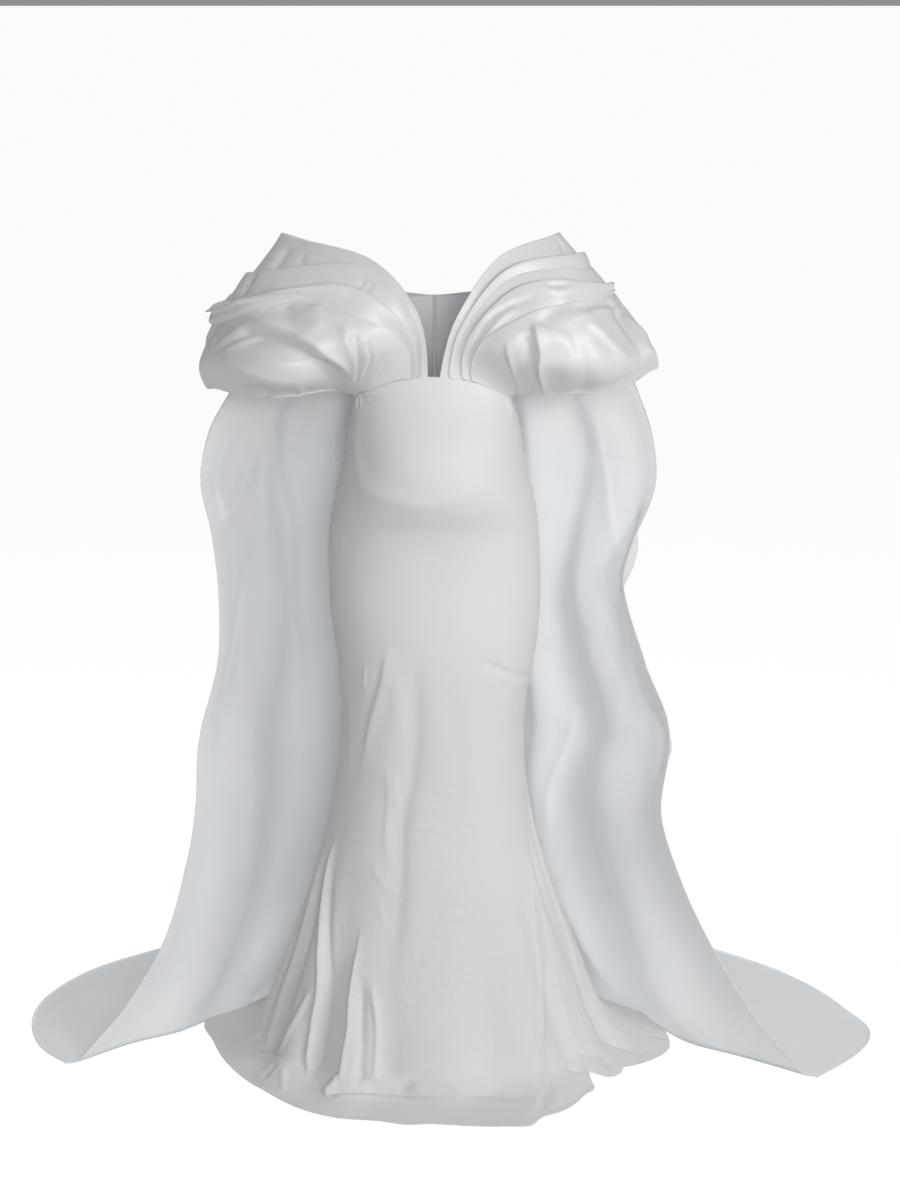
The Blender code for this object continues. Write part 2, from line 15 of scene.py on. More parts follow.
import bpy
import numpy as np
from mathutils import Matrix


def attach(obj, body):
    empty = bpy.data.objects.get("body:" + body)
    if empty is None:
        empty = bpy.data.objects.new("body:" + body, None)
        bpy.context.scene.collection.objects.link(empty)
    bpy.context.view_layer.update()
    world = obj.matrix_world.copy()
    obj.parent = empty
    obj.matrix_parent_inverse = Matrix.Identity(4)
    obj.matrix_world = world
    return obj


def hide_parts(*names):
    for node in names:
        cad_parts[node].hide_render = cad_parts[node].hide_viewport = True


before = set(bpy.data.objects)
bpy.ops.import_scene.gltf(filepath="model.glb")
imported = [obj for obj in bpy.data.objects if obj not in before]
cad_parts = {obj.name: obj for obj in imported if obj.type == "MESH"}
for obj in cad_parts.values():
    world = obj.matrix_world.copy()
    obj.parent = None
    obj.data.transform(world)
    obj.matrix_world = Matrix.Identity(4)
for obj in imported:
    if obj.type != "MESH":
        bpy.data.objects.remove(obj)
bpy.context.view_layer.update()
print("solids:", sorted(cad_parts))

# %% [markdown]
# ## The camera
#
# The floor's ellipses and the hem give the camera away: it stands 4.5 m in front of the
# body and 1.97 m above the floor, and looks down a little. A long lens keeps the dress
# free of distortion. The frame is taken as 900 by 1200, and the lens follows from how
# many pixels one metre at one metre's distance takes.

# %% Place the camera
HOLD_HEIGHT = 1.300
CAMERA_BACK = 4.50
CAMERA_HEIGHT = 1.97
CAMERA_ASIDE = 0.029
LOOKS_DOWN = math.radians(13.582)
FRAME_TALL = 1200
FOCAL_PIXELS = 2480
SENSOR = 36.0

lens = bpy.data.cameras.new("studio_camera")
lens.sensor_fit = "VERTICAL"
lens.sensor_height = SENSOR
lens.lens = FOCAL_PIXELS / FRAME_TALL * SENSOR
camera = bpy.data.objects.new("studio_camera", lens)
bpy.context.scene.collection.objects.link(camera)
camera.location = (CAMERA_ASIDE, -CAMERA_BACK, CAMERA_HEIGHT - HOLD_HEIGHT)
camera.rotation_euler = (math.pi / 2 - LOOKS_DOWN, 0, 0)
bpy.context.scene.camera = camera
print("lens:", round(lens.lens, 1), "mm")

# %% [markdown]
# ## Curves read from tables
#
# A cutter notes a garment as a short table: so wide at this height, so wide at that one.
# Each table here has a row of column names, and `curve` reads one of its columns as a
# smooth line. `ease` and `bump` are the two shapes that everything else is mixed from: a
# soft step and a soft hill.

# %% Helpers for smooth forms
def curve(table, at, name):
    """A named column of a table, read as a smooth curve over its first column."""
    column = table[0].index(name)
    rows = np.array(table[1:], float)
    order = np.argsort(rows[:, 0])
    x, y = rows[order, 0], rows[order, column]
    slope = np.gradient(y, x)
    at = np.clip(at, x[0], x[-1])
    i = np.clip(np.searchsorted(x, at) - 1, 0, len(x) - 2)
    step = x[i + 1] - x[i]
    t = (at - x[i]) / step
    return (
        y[i] * (1 + 2 * t) * (1 - t) ** 2
        + slope[i] * step * t * (1 - t) ** 2
        + y[i + 1] * t * t * (3 - 2 * t)
        + slope[i + 1] * step * t * t * (t - 1)
    )


def ease(t):
    """0 below 0, 1 above 1 and a smooth rise between them."""
    t = np.clip(t, 0.0, 1.0)
    return t * t * (3 - 2 * t)


def bump(distance, half_width):
    return np.exp(-((distance / half_width) ** 2))


def points(x, y, height):
    """Points in the dress's frame from heights above the floor."""
    return np.stack(np.broadcast_arrays(x, y, height - HOLD_HEIGHT), axis=-1)


def power(value, exponent):
    return np.sign(value) * np.abs(value) ** exponent


def apart(angle, other):
    """How far one angle is from another, the short way round."""
    return (angle - other + 180) % 360 - 180


def spread(first, last, count):
    return np.linspace(first, last, count)


# %% [markdown]
# ## How a crease is laid into a sheet
#
# A crease isn't a random wrinkle. It starts where the cloth is held, runs along the pull
# and dies out, and one of its sides is often steeper than the other. So each crease is a
# row of its own: its half width and its depth in millimetres (outwards if positive), its
# lean, from -1 to 1, which makes one side steeper and the crest sharper, and then the
# places that it passes, given in the sheet's own coordinates. The line is smoothed, laid
# on the sheet in space, and every point near it is moved along the sheet's normal.

# %% Lay creases
MILLIMETRE = 0.001
CREASE_STEPS = 36          # points on a crease's smoothed line
CREASE_REACH = 3.0         # how far a crease is felt, in half widths
TAPER_IN = 0.22            # the share of its length over which it grows
TAPER_OUT = 0.30           # and over which it dies out


def smoothed(path, count=CREASE_STEPS):
    """A smooth line through a few places, with evenly spread points."""
    path = np.array(path, float)
    if len(path) == 2:
        return path[0] + (path[1] - path[0]) * spread(0, 1, count)[:, None]
    knots = np.arange(len(path), dtype=float)
    slope = np.gradient(path, knots, axis=0)
    at = spread(0, len(path) - 1, count)
    i = np.clip(at.astype(int), 0, len(path) - 2)
    t = (at - i)[:, None]
    return (
        path[i] * (1 + 2 * t) * (1 - t) ** 2
        + slope[i] * t * (1 - t) ** 2
        + path[i + 1] * t * t * (3 - 2 * t)
        + slope[i + 1] * t * t * (t - 1)
    )


def crease_lines(rows, place_on):
    """The sizes of each crease and its line of points, for which place_on turns places
    into points."""
    return [
        (half_width * MILLIMETRE, depth * MILLIMETRE, lean, place_on(*smoothed(path).T))
        for half_width, depth, lean, *path in rows
    ]


def relief(place, normal, creases):
    """How far creases move each point: place and normal are arrays of points, and
    creases have their lines in the same space."""
    total = np.zeros(len(place))
    for half_width, depth, lean, line in creases:
        reach = CREASE_REACH * half_width * (1 + abs(lean))
        low, high = line.min(axis=0) - reach, line.max(axis=0) + reach
        near = np.where(np.all((place > low) & (place < high), axis=1))[0]
        if not len(near):
            continue
        point = place[near]
        best = np.full(len(near), np.inf)
        share = np.zeros(len(near))
        side = np.zeros(len(near))
        for k in range(len(line) - 1):
            run = line[k + 1] - line[k]
            t = np.clip((point - line[k]) @ run / (run @ run), 0, 1)
            offset = point - line[k] - t[:, None] * run
            gap = np.linalg.norm(offset, axis=1)
            closer = gap < best
            best = np.where(closer, gap, best)
            share = np.where(closer, (k + t) / (len(line) - 1), share)
            turn = np.einsum("ij,ij->i", np.cross(run, offset), normal[near])
            side = np.where(closer, np.sign(turn), side)
        width = half_width * (1 - lean * side)
        taper = ease(share / TAPER_IN) * ease((1 - share) / TAPER_OUT)
        total[near] += depth * taper * np.exp(-((best / width) ** (2 - abs(lean))))
    return total


def normals_of(grid):
    """Unit normals of a grid of points, from its rows and columns."""
    normal = np.cross(np.gradient(grid, axis=1), np.gradient(grid, axis=0))
    return normal / np.maximum(np.linalg.norm(normal, axis=-1, keepdims=True), 1e-12)


def creased(grid, outward, rows, place_on):
    """A grid with its creases. outward is 1 or -1, to make its normals point out."""
    normal = normals_of(grid) * outward
    creases = crease_lines(rows, place_on)
    moved = relief(grid.reshape(-1, 3), normal.reshape(-1, 3), creases)
    return grid + normal * moved.reshape(grid.shape[:2])[..., None]


# %% [markdown]
# ## The hand of the cloth
#
# Even where a sheet hangs smooth it isn't a perfect surface: it wavers by half a
# millimetre over a hand's breadth, and that's what makes its sheen look like cloth. A
# few sine waves across each other, each at its own slant, are enough. Fixed numbers
# take the place of random ones, so that the dress comes out the same each time.

# %% The cloth's own unevenness
WAVERS = (
    ("slant_x", "slant_y", "slant_z", "length", "phase"),
    (0.92, 0.20, 0.35, 0.110, 0.3),
    (0.85, -0.35, -0.40, 0.074, 1.9),
    (0.70, 0.60, 0.38, 0.053, 4.1),
    (-0.95, 0.25, 0.18, 0.041, 2.6),
    (0.55, -0.20, 0.81, 0.088, 5.2),
    (0.98, 0.05, -0.12, 0.031, 0.9),
)
WAVER_BEND = 1.7           # how far the waves bend as they rise, in radians
WAVER_TURNS = 9            # and how quickly, in radians per metre


def waver(grid, height):
    """Small uneven waves of about the given height, from where each point is."""
    total = np.zeros(grid.shape[:-1])
    bend = WAVER_BEND * np.sin(WAVER_TURNS * grid[..., 2])
    for x, y, z, length, phase in WAVERS[1:]:
        along = grid @ np.array((x, y, z))
        total = total + np.sin(2 * np.pi * along / length + phase + bend) * length
    return total * height / sum(row[3] for row in WAVERS[1:])


# %% [markdown]
# ## From points to cloth
#
# A sheet starts as a flat grid, as a length of cloth does. Its vertices are moved to
# where the worn cloth is, its UV map keeps the cloth's own width and length in metres
# so that the weave has one size everywhere, and Solidify gives it a thickness. The
# outer face stays where the solid's is, and the thickness goes inwards.

# %% Bend a flat grid into a worn sheet
def lengths(grid, axis):
    """Mean distances along one axis of a grid, added up from its start."""
    steps = np.linalg.norm(np.diff(grid, axis=axis), axis=-1).mean(axis=1 - axis)
    return np.concatenate([[0.0], np.cumsum(steps)])


def deselect():
    for other in bpy.context.selected_objects:
        other.select_set(False)


def make_active(piece):
    deselect()
    piece.select_set(True)
    bpy.context.view_layer.objects.active = piece


def cloth(name, grid, wall, turned=False):
    """One sheet of cloth: a flat grid bent to the given points, with its wall on the
    inner side and its cut size as its UV map."""
    rows, columns = grid.shape[:2]
    deselect()
    bpy.ops.mesh.primitive_grid_add(
        x_subdivisions=columns - 1, y_subdivisions=rows - 1, size=1.0
    )
    piece = bpy.context.object
    piece.name = name
    mesh = piece.data
    mesh.name = name
    flat = np.empty(len(mesh.vertices) * 3)
    mesh.vertices.foreach_get("co", flat)
    flat = flat.reshape(-1, 3)
    i = np.rint((flat[:, 1] + 0.5) * (rows - 1)).astype(int)
    j = np.rint((flat[:, 0] + 0.5) * (columns - 1)).astype(int)
    mesh.vertices.foreach_set("co", grid[i, j].ravel())
    corner = np.empty(len(mesh.loops), int)
    mesh.loops.foreach_get("vertex_index", corner)
    across, down = lengths(grid, 1), lengths(grid, 0)
    uv = np.stack([across[j[corner]], down[i[corner]]], axis=-1)
    layer = mesh.uv_layers[0] if mesh.uv_layers else mesh.uv_layers.new()
    layer.name = "cut"
    layer.data.foreach_set("uv", uv.ravel())
    if turned:
        mesh.flip_normals()
    mesh.shade_smooth()
    make_active(piece)
    walled = piece.modifiers.new("wall", "SOLIDIFY")
    walled.thickness = wall
    walled.offset = -1.0
    walled.use_even_offset = False
    bpy.ops.object.modifier_apply(modifier=walled.name)
    mesh.update()
    print(name, "-", rows, "x", columns, "points,", len(mesh.polygons), "faces")
    return piece


# %% [markdown]
# ## The body that the dress is cut for
#
# The skirt is skin-tight down to the knees, so its cut is the figure's: one row for each
# height, with half widths to the left and right and depths to the front and back. The
# belly stands out below the empire seam. A section is rounder than an ellipse, which the
# exponent sees to.

# %% The figure's sections
CREPE = 0.0015             # wall of the solid skirt
ORGANZA = 0.0012           # wall of the solid sleeves and cape
SEAM_GAP = 0.0003
FLARE_GAP = 0.0006         # at the skirt's long seams
BACK_LINE = 0.1085         # sleeves and bodice end in front of this, the cape hangs on it
SEAM_SIDE = 1.270          # empire seam at the side seams
SEAM_RISE = 0.050          # how much higher it is at the centre front
ROUNDNESS = 2.25

BODY = (
    ("height", "left", "right", "front", "back"),
    (1.480, 0.168, 0.168, 0.150, 0.1080),
    (1.440, 0.165, 0.165, 0.150, 0.1080),
    (1.400, 0.160, 0.160, 0.150, 0.1050),
    (1.320, 0.148, 0.147, 0.132, 0.1000),
    (1.270, 0.146, 0.144, 0.150, 0.0970),
    (1.210, 0.158, 0.157, 0.186, 0.094),
    (1.150, 0.166, 0.166, 0.200, 0.096),
    (1.090, 0.180, 0.181, 0.186, 0.108),
    (1.040, 0.191, 0.190, 0.160, 0.124),
    (0.960, 0.196, 0.196, 0.143, 0.142),
    (0.870, 0.194, 0.197, 0.143, 0.146),
    (0.770, 0.181, 0.186, 0.143, 0.138),
    (0.690, 0.176, 0.171, 0.140, 0.128),
    (0.580, 0.181, 0.170, 0.140, 0.128),
    (0.440, 0.207, 0.191, 0.152, 0.145),
    (0.320, 0.241, 0.228, 0.174, 0.172),
    (0.200, 0.282, 0.268, 0.205, 0.207),
    (0.100, 0.316, 0.302, 0.236, 0.238),
    (0.040, 0.337, 0.330, 0.258, 0.262),
)


def body(angle, height, out=0.0):
    """x and y of the body at an angle and a height, moved out by a distance."""
    turn = np.radians(angle)
    sine, cosine = np.sin(turn), np.cos(turn)
    left, right = curve(BODY, height, "left"), curve(BODY, height, "right")
    front, back = curve(BODY, height, "front"), curve(BODY, height, "back")
    wide = np.where(sine < 0, left, right) + out
    deep = np.where(cosine > 0, front, back) + out
    return wide * power(sine, 2 / ROUNDNESS), -deep * power(cosine, 2 / ROUNDNESS)


def seam_height(angle):
    """The empire seam: highest at the centre front, level round the back."""
    return SEAM_SIDE + SEAM_RISE * np.clip(np.cos(np.radians(angle)), 0, 1) ** 2


# %% [markdown]
# ## The skirt
#
# A stretch crepe sheath. It's cut as a front and two backs, gathered a little into the
# side seams over the belly, close round the hips and knees, and flared below them into
# a hem that's too long for the wearer, so it turns out onto the floor and lies there in
# soft waves. The large folds of the flare are rows of `SKIRT_FOLDS`. The sheet's
# coordinates are the angle from the centre front and how far down it is: 0 at the empire
# seam, 1 where it meets the floor and 2 at the hem.

# %% The skirt's large form
FLOOR = (
    ("angle", "hem"),
    (-180, 0.400), (-150, 0.398), (-135, 0.380), (-124, 0.384), (-116, 0.402),
    (-108, 0.421), (-100, 0.459), (-88, 0.430), (-77, 0.414), (-62, 0.399),
    (-49, 0.393), (-36, 0.395), (-27, 0.391), (-15, 0.375), (-8, 0.380),
    (0, 0.374), (8, 0.385), (19, 0.406), (25, 0.418), (29, 0.400),
    (36, 0.397), (42, 0.388), (48, 0.375), (54, 0.369), (57, 0.346),
    (60.5, 0.376), (64, 0.387), (70, 0.385), (75, 0.414), (84, 0.453),
    (92, 0.454), (99, 0.437), (107, 0.423), (113, 0.402), (119, 0.380),
    (135, 0.372), (150, 0.396), (180, 0.400),
)

SKIRT_FOLDS = (
    ("angle_top", "angle_floor", "half_width", "depth", "starts"),
    (-78, -84, 9, 0.010, 0.42),
    (-62, -66, 7, -0.012, 0.46),
    (-52, -52, 8, 0.013, 0.50),
    (-38, -40, 6, -0.012, 0.38),
    (-27, -25, 7, 0.016, 0.34),
    (-12, -13, 6, -0.010, 0.26),
    (2, 1, 8, 0.008, 0.22),
    (16, 17, 7, -0.009, 0.30),
    (31, 33, 8, 0.010, 0.36),
    (46, 50, 6, -0.014, 0.48),
    (58, 64, 7, 0.014, 0.50),
    (70, 76, 6, -0.009, 0.44),
    (84, 90, 8, 0.012, 0.40),
    (104, 106, 8, -0.012, 0.44),
    (121, 124, 9, 0.014, 0.46),
    (140, 142, 8, -0.012, 0.44),
    (160, 160, 9, 0.012, 0.40),
    (180, 180, 8, -0.010, 0.42),
    (-180, -180, 8, -0.010, 0.42),
    (-160, -160, 9, 0.013, 0.44),
    (-139, -141, 8, -0.012, 0.42),
    (-120, -122, 9, 0.014, 0.46),
    (-100, -102, 8, -0.011, 0.42),
)

# Gathers at the side seams, uneven as a seamstress draws them up.
GATHERS = (
    ("height", "left_depth", "right_depth", "half_height"),
    (1.250, 0.0036, 0.0046, 0.0060),
    (1.229, 0.0046, 0.0030, 0.0068),
    (1.204, 0.0032, 0.0048, 0.0064),
    (1.183, 0.0050, 0.0036, 0.0066),
    (1.158, 0.0038, 0.0034, 0.0060),
    (1.137, 0.0044, 0.0046, 0.0070),
    (1.112, 0.0034, 0.0030, 0.0062),
    (1.092, 0.0042, 0.0040, 0.0066),
    (1.066, 0.0028, 0.0034, 0.0064),
    (1.043, 0.0030, 0.0026, 0.0060),
    (1.020, 0.0018, 0.0022, 0.0060),
)
GATHER_SPREAD = 12         # degrees from the seam over which the gathers die out
GATHER_DROOP = 0.010       # how much a gather falls on its way to the front
GATHER_LEVEL = 0.5         # where between its hollow and its crest the cloth lay before
GATHER_REACH = 2.4         # how far a gather is felt, in half heights
WELT_PROUD = 0.0016        # the pressed side seam stands a little proud
WELT_SPREAD = 1.1          # and is this many degrees wide
WELT_FROM, WELT_OVER = 0.9, 0.2    # height where it begins to show, and over which it grows

WALL_FOOT = 0.040          # height at which the skirt turns out onto the floor
TURN = 0.085               # width of the turn
LANDING = 2.6              # how sharply it comes down
RIPPLE = 0.35              # how much of the folds' depth lifts the turned-out cloth
AIR = 0.005                # the puddle lies on itself, so it's a little off the floor


def skirt_folds(angle, height):
    """How far the skirt's folds stand out at an angle and a height."""
    total = np.zeros(np.broadcast(angle, height).shape)
    for top, low, width, depth, starts in SKIRT_FOLDS[1:]:
        grown = ease((starts - height) / starts)
        middle = top + (low - top) * grown
        total = total + depth * grown * bump(apart(angle, middle), width)
    return total


def gathers(angle, height):
    """Small cross folds along both side seams, each drooping towards the front."""
    off = apart(np.abs(angle), 90)
    near = bump(off, GATHER_SPREAD)
    level = height + GATHER_DROOP * np.abs(off) / GATHER_SPREAD
    total = np.zeros(np.broadcast(angle, height).shape)
    for middle, left, right, half in GATHERS[1:]:
        depth = np.where(angle < 0, left, right)
        hill = bump(level - middle, half) - GATHER_LEVEL
        total = total + depth * hill * bump(level - middle, half * GATHER_REACH)
    welt = WELT_PROUD * bump(off, WELT_SPREAD) * ease((height - WELT_FROM) / WELT_OVER)
    return total * near + welt


def skirt(angle, down):
    """The skirt's outer face: down runs from 0 at the seam to 1 at the floor turn
    and on to 2 at the hem."""
    wall = np.clip(down, 0, 1)
    height = seam_height(angle) - SEAM_GAP / 2
    height = height + (WALL_FOOT - height) * wall
    out = gathers(angle, height) + skirt_folds(angle, height)
    x, y = body(angle, height, out)
    lie = np.clip(down - 1, 0, 1)
    reach = np.hypot(x, y)
    hem = curve(FLOOR, np.broadcast_to(angle, x.shape), "hem")
    room = hem - reach
    far = reach + room * lie
    heading = np.arctan2(x, -y)
    heading = heading + (np.radians(angle) - heading) * ease(lie)
    laid = CREPE + SEAM_GAP
    folds_here = skirt_folds(angle, np.full(x.shape, WALL_FOOT))
    ripple = RIPPLE * np.clip(folds_here, 0, 1) * (1 - lie)
    settled = np.clip(1 - room * lie / TURN, 0, 1) ** LANDING
    ripple = ripple + AIR * np.sin(np.pi * np.clip(lie, 0, 1)) ** 2
    low = laid + ripple * (1 - settled) + (WALL_FOOT - laid) * settled
    x = np.where(down > 1, far * np.sin(heading), x)
    y = np.where(down > 1, -far * np.cos(heading), y)
    return points(x, y, np.where(down > 1, low, height))


# %% [markdown]
# ### The skirt's creases
#
# Below the belly the crepe breaks in one long soft trough, the deepest on the left, and
# drag lines run from it to the hips. A ledge crosses the right thigh, a long ridge parts
# the darker left from the lit middle, and at the knees the flare starts in a few crisp
# folds that run down to the floor and open there into pockets. Each is laid where it
# lies on the dress. The back, which isn't seen, has similar ones: a soft break under the
# seat, drag lines at the knees and folds of the flare.

# %% The skirt's creases: half width, depth, lean, then angle and way down of each place
FRONT_CREASES = (
    # puckers that are pulled to the knot at the empire seam's left end
    (2.8, -3.4, 0.5, (-72, 0), (-64, 0.001), (-54, 0.007), (-45, 0.019)),
    (2.6, -3, 0.4, (-68, 0), (-60, 0.001), (-49, 0.005), (-38, 0.014)),
    (2.4, 2, 0, (-66, 0.001), (-56, 0.005), (-48, 0.011), (-41, 0.019)),
    (2.4, -1.6, 0, (-60, 0), (-46, 0.002), (-33, 0.006)),
    (2.8, -3.6, 0.4, (-69, 0), (-70, 0.009), (-71, 0.022)),
    (2.8, -3.4, 0.3, (-65, 0), (-62, 0.01), (-59, 0.024)),
    (2.2, 2.4, 0, (-67, 0), (-66, 0.02)),
    # and at its right end
    (3, -2.6, 0.3, (60, 0.003), (66, 0.016), (71, 0.034)),
    (2.6, -2.2, 0, (66, 0.001), (71, 0.01), (74, 0.026)),
    (2.4, 1.6, 0, (63, 0.001), (69, 0.013)),
    # the break under the belly
    (15, -3.4, 0.1, (-70, 0.02), (-64, 0.035), (-57, 0.089), (-49, 0.121), (-39, 0.143),
     (-21, 0.161), (-6, 0.17), (8, 0.165), (26, 0.147), (44, 0.128)),
    (26, -1.6, 0, (-60, 0.13), (-30, 0.172), (-4, 0.184), (34, 0.16)),
    (4.5, -2, 0.2, (-80, 0.115), (-71, 0.169), (-56, 0.152)),
    # hips
    (4.5, -1.8, 0, (-56, 0.204), (-60, 0.24)),
    (6, -2, 0.2, (43, 0.24), (49, 0.264), (58, 0.288)),
    # the ledge across the right thigh, the shade below it and its drag lines
    (6.4, 4, -0.5, (18, 0.396), (34, 0.408), (44, 0.416), (56, 0.42), (74, 0.424),
     (88, 0.422)),
    (9, -2.8, 0, (36, 0.424), (54, 0.432), (76, 0.438)),
    (15, -3.4, 0, (46, 0.436), (49, 0.466), (54, 0.51)),
    (2.4, -1.2, 0, (50, 0.421), (52, 0.436)),
    (2.4, -1.2, 0, (58, 0.424), (61, 0.44)),
    # drag lines of the left thigh
    (4, -1.8, 0.2, (-41, 0.404), (-43, 0.424), (-45, 0.446)),
    (9, -3.6, 0.4, (-22, 0.38), (-27, 0.411), (-31, 0.441), (-39, 0.487), (-43, 0.524),
     (-49, 0.6)),
    (9.5, 1.8, 0, (-28, 0.404), (-34, 0.44), (-43, 0.488), (-48, 0.545)),
    (13, -1.4, 0, (-21, 0.42), (-20, 0.515)),
    (12, -2, 0, (-62, 0.45), (-60, 0.522), (-61, 0.606)),
    (18, -1.4, 0, (19, 0.45), (22, 0.55), (19, 0.65)),
    # the long ridge between the dark left and the lit middle
    (23, 6.2, -0.3, (-9, 0.36), (-9, 0.44), (-9, 0.505), (-11, 0.575), (-15, 0.64),
     (-14, 0.724), (-14, 0.8), (-15, 0.86), (-16, 0.96)),
    (9, -2, 0.2, (-28, 0.55), (-24, 0.611), (-24, 0.665), (-20, 0.72)),
    (7, -1.2, 0, (-22, 0.568), (-18, 0.634)),
    (5.5, -1.6, 0, (-33, 0.706), (-21, 0.738), (-12, 0.752)),
    (5.2, -1.3, 0, (-24, 0.762), (-19, 0.797)),
    # faint lines across the knees
    (2.8, -1.3, 0, (-38, 0.607), (-27, 0.605), (-15, 0.609)),
    (2.8, -1.4, 0, (-18, 0.626), (-5, 0.624), (9, 0.63)),
    (3, -1.5, 0, (-20, 0.655), (-4, 0.652), (11, 0.659)),
    (3.4, -2, 0, (-54, 0.668), (-38, 0.673), (-23, 0.67)),
    (2.8, -1.2, 0, (-1, 0.599), (21, 0.606)),
    (2.8, -1.1, 0, (4, 0.64), (26, 0.644)),
    (3.5, -1.5, 0, (5, 0.737), (16, 0.728)),
    (3.5, -1.4, 0, (4, 0.761), (17, 0.758)),
    (4, -1.7, 0, (1, 0.769), (16, 0.792)),
    # the flare's folds on the left
    (8, 6, 0, (-79, 0.74), (-76, 0.871), (-78, 0.978), (-80, 1.12)),
    (5.2, -9.5, 0.5, (-75, 0.67), (-72, 0.76), (-70, 0.844), (-71, 0.9), (-72, 0.958),
     (-72, 1.24)),
    (10, 5, 0.3, (-69, 0.7), (-64, 0.83), (-63, 0.93), (-64, 1.02)),
    (5.6, -12, 0.5, (-64, 0.655), (-62, 0.711), (-57, 0.77), (-51, 0.826), (-46, 0.888),
     (-45, 0.941), (-42, 1.101), (-41, 1.3)),
    (8.5, 5.2, -0.2, (-58, 0.715), (-50, 0.79), (-41, 0.88), (-39, 0.95), (-36, 1.09)),
    (5.5, -7, -0.4, (-47, 0.88), (-50, 0.925), (-54, 0.972), (-62, 1.08), (-69, 1.316),
     (-66, 1.72)),
    (8.5, 5.5, 0, (-51, 0.88), (-56, 0.94), (-62, 0.995), (-71, 1.16)),
    (4.6, -10, 0.5, (-31, 0.79), (-29, 0.89), (-27, 0.94), (-27, 0.982), (-25, 1.2)),
    (9.5, 9, 0, (-26, 0.86), (-23, 0.926), (-21, 0.985), (-20, 1.13)),
    (5.2, -6.2, 0.3, (-22, 0.87), (-18, 0.932), (-17, 0.996), (-16, 1.1)),
    (5, -9, 0.5, (-27, 0.985), (-28, 1.08), (-29, 1.21), (-31, 1.361), (-30, 1.56)),
    (7.6, 10, 0.6, (-33, 1.48), (-26, 1.33), (-18, 1.27), (-10, 1.25), (-4, 1.236),
     (2, 1.36)),
    (8, -5, 0.3, (-30, 1.52), (-22, 1.4), (-10, 1.36), (0, 1.44)),
    (8, 6.4, 0.2, (-8, 1.27), (-8, 1.14), (-6, 1.05), (-3, 1.01), (0, 1.04), (2, 1.13),
     (1, 1.31)),
    (7, -3.4, 0, (-4, 1.06), (-3, 1.24)),
    (7, -5, 0.3, (-20, 1), (-15, 1.09), (-12, 1.19)),
    (8, 4, 0, (6, 1.18), (13, 1.24), (20, 1.25)),
    (6, -3.6, 0.2, (12, 1.42), (20, 1.47), (27, 1.43)),
    # the flare's folds on the right
    (4.6, -7.5, 0.5, (58, 0.74), (55, 0.769), (48, 0.868), (38, 0.956), (34, 1.02),
     (26, 1.8)),
    (8.5, 7, 0.4, (67, 0.64), (65, 0.756), (66, 0.84), (64, 0.922), (64, 1.15)),
    (4.6, -5.6, 0.4, (60, 0.69), (57, 0.77), (58, 0.85), (57, 0.93), (57, 1.06)),
    (6.2, -5, 0.3, (81, 0.58), (78, 0.694), (78, 0.785), (79, 0.86), (79, 0.96)),
    (3.4, -3, 0, (68, 0.9), (73, 0.922), (78, 0.928)),
    # the puddle's waves
    (6, -5.6, 0.3, (54, 1.64), (55, 1.258), (56, 0.985)),
    (7, -5.6, 0.3, (66, 1.8), (71, 1.361), (68, 0.99)),
    (9, 4.6, 0, (61, 1.76), (63, 1.35), (62, 1)),
    (5.5, 4, 0, (44, 1.095), (51, 1.343), (56, 1.52)),
    (5.5, -5, 0.3, (36, 1.95), (36, 1.39), (35, 1.03)),
    (8, 4, 0, (30, 1.86), (31, 1.4), (31, 1.05)),
    (8, 4.5, 0, (78, 1.85), (80, 1.4), (77, 1.05)),
    (6.5, -5, 0, (-86, 1.7), (-81, 1.3), (-77, 1.03)),
    (8.5, 4, 0, (-58, 1.78), (-56, 1.4), (-53, 1.12)),
    (6, -4, 0, (-47, 1.76), (-49, 1.42), (-50, 1.15)),
)

BACK_CREASES = (
    # the soft break under the seat and drag lines above it
    (15, -3.8, 0.2, (-152, 0.395), (-166, 0.412), (-178, 0.404)),
    (15, -3.4, 0.2, (150, 0.402), (165, 0.418), (178, 0.406)),
    (9, -2.2, 0, (-118, 0.3), (-132, 0.33), (-145, 0.338)),
    (9, -2.4, 0, (116, 0.312), (131, 0.336), (146, 0.34)),
    (10, -2.4, 0, (-104, 0.18), (-120, 0.196), (-136, 0.19)),
    (10, -2.2, 0, (103, 0.172), (121, 0.19), (139, 0.184)),
    # the hollows of the knees
    (9, -2.8, 0.3, (-138, 0.56), (-150, 0.592), (-164, 0.588)),
    (7, -2, 0, (-135, 0.618), (-150, 0.634), (-163, 0.626)),
    (9, -2.6, 0.3, (137, 0.57), (151, 0.598), (166, 0.59)),
    (7, -1.8, 0, (140, 0.628), (152, 0.64), (165, 0.634)),
    # folds of the flare
    (10, -7, 0.4, (-112, 0.64), (-116, 0.76), (-113, 0.9), (-112, 1.2)),
    (11, 6, 0.3, (-131, 0.7), (-129, 0.82), (-131, 0.94), (-130, 1.3)),
    (10, -7.5, -0.4, (-150, 0.66), (-148, 0.8), (-151, 0.93), (-150, 1.25)),
    (12, 5.5, 0, (-170, 0.72), (-168, 0.86), (-170, 1.1)),
    (10, -7, -0.4, (112, 0.65), (115, 0.77), (113, 0.91), (114, 1.2)),
    (11, 6, 0.3, (132, 0.69), (130, 0.81), (132, 0.95), (133, 1.3)),
    (10, -7, 0.4, (150, 0.67), (151, 0.8), (149, 0.94), (150, 1.25)),
    (12, 5, 0, (169, 0.7), (171, 0.85), (170, 1.1)),
)

# %% [markdown]
# ### Cutting and hanging the skirt
#
# The front and the backs are made from the same function, so their side seams meet. The
# rows are closer where the gathers and creases are. The lowest band is doubled, because
# the hem is turned up: there the outer face stands half a millimetre proud, and the fold
# at its upper edge shows as a fine line.

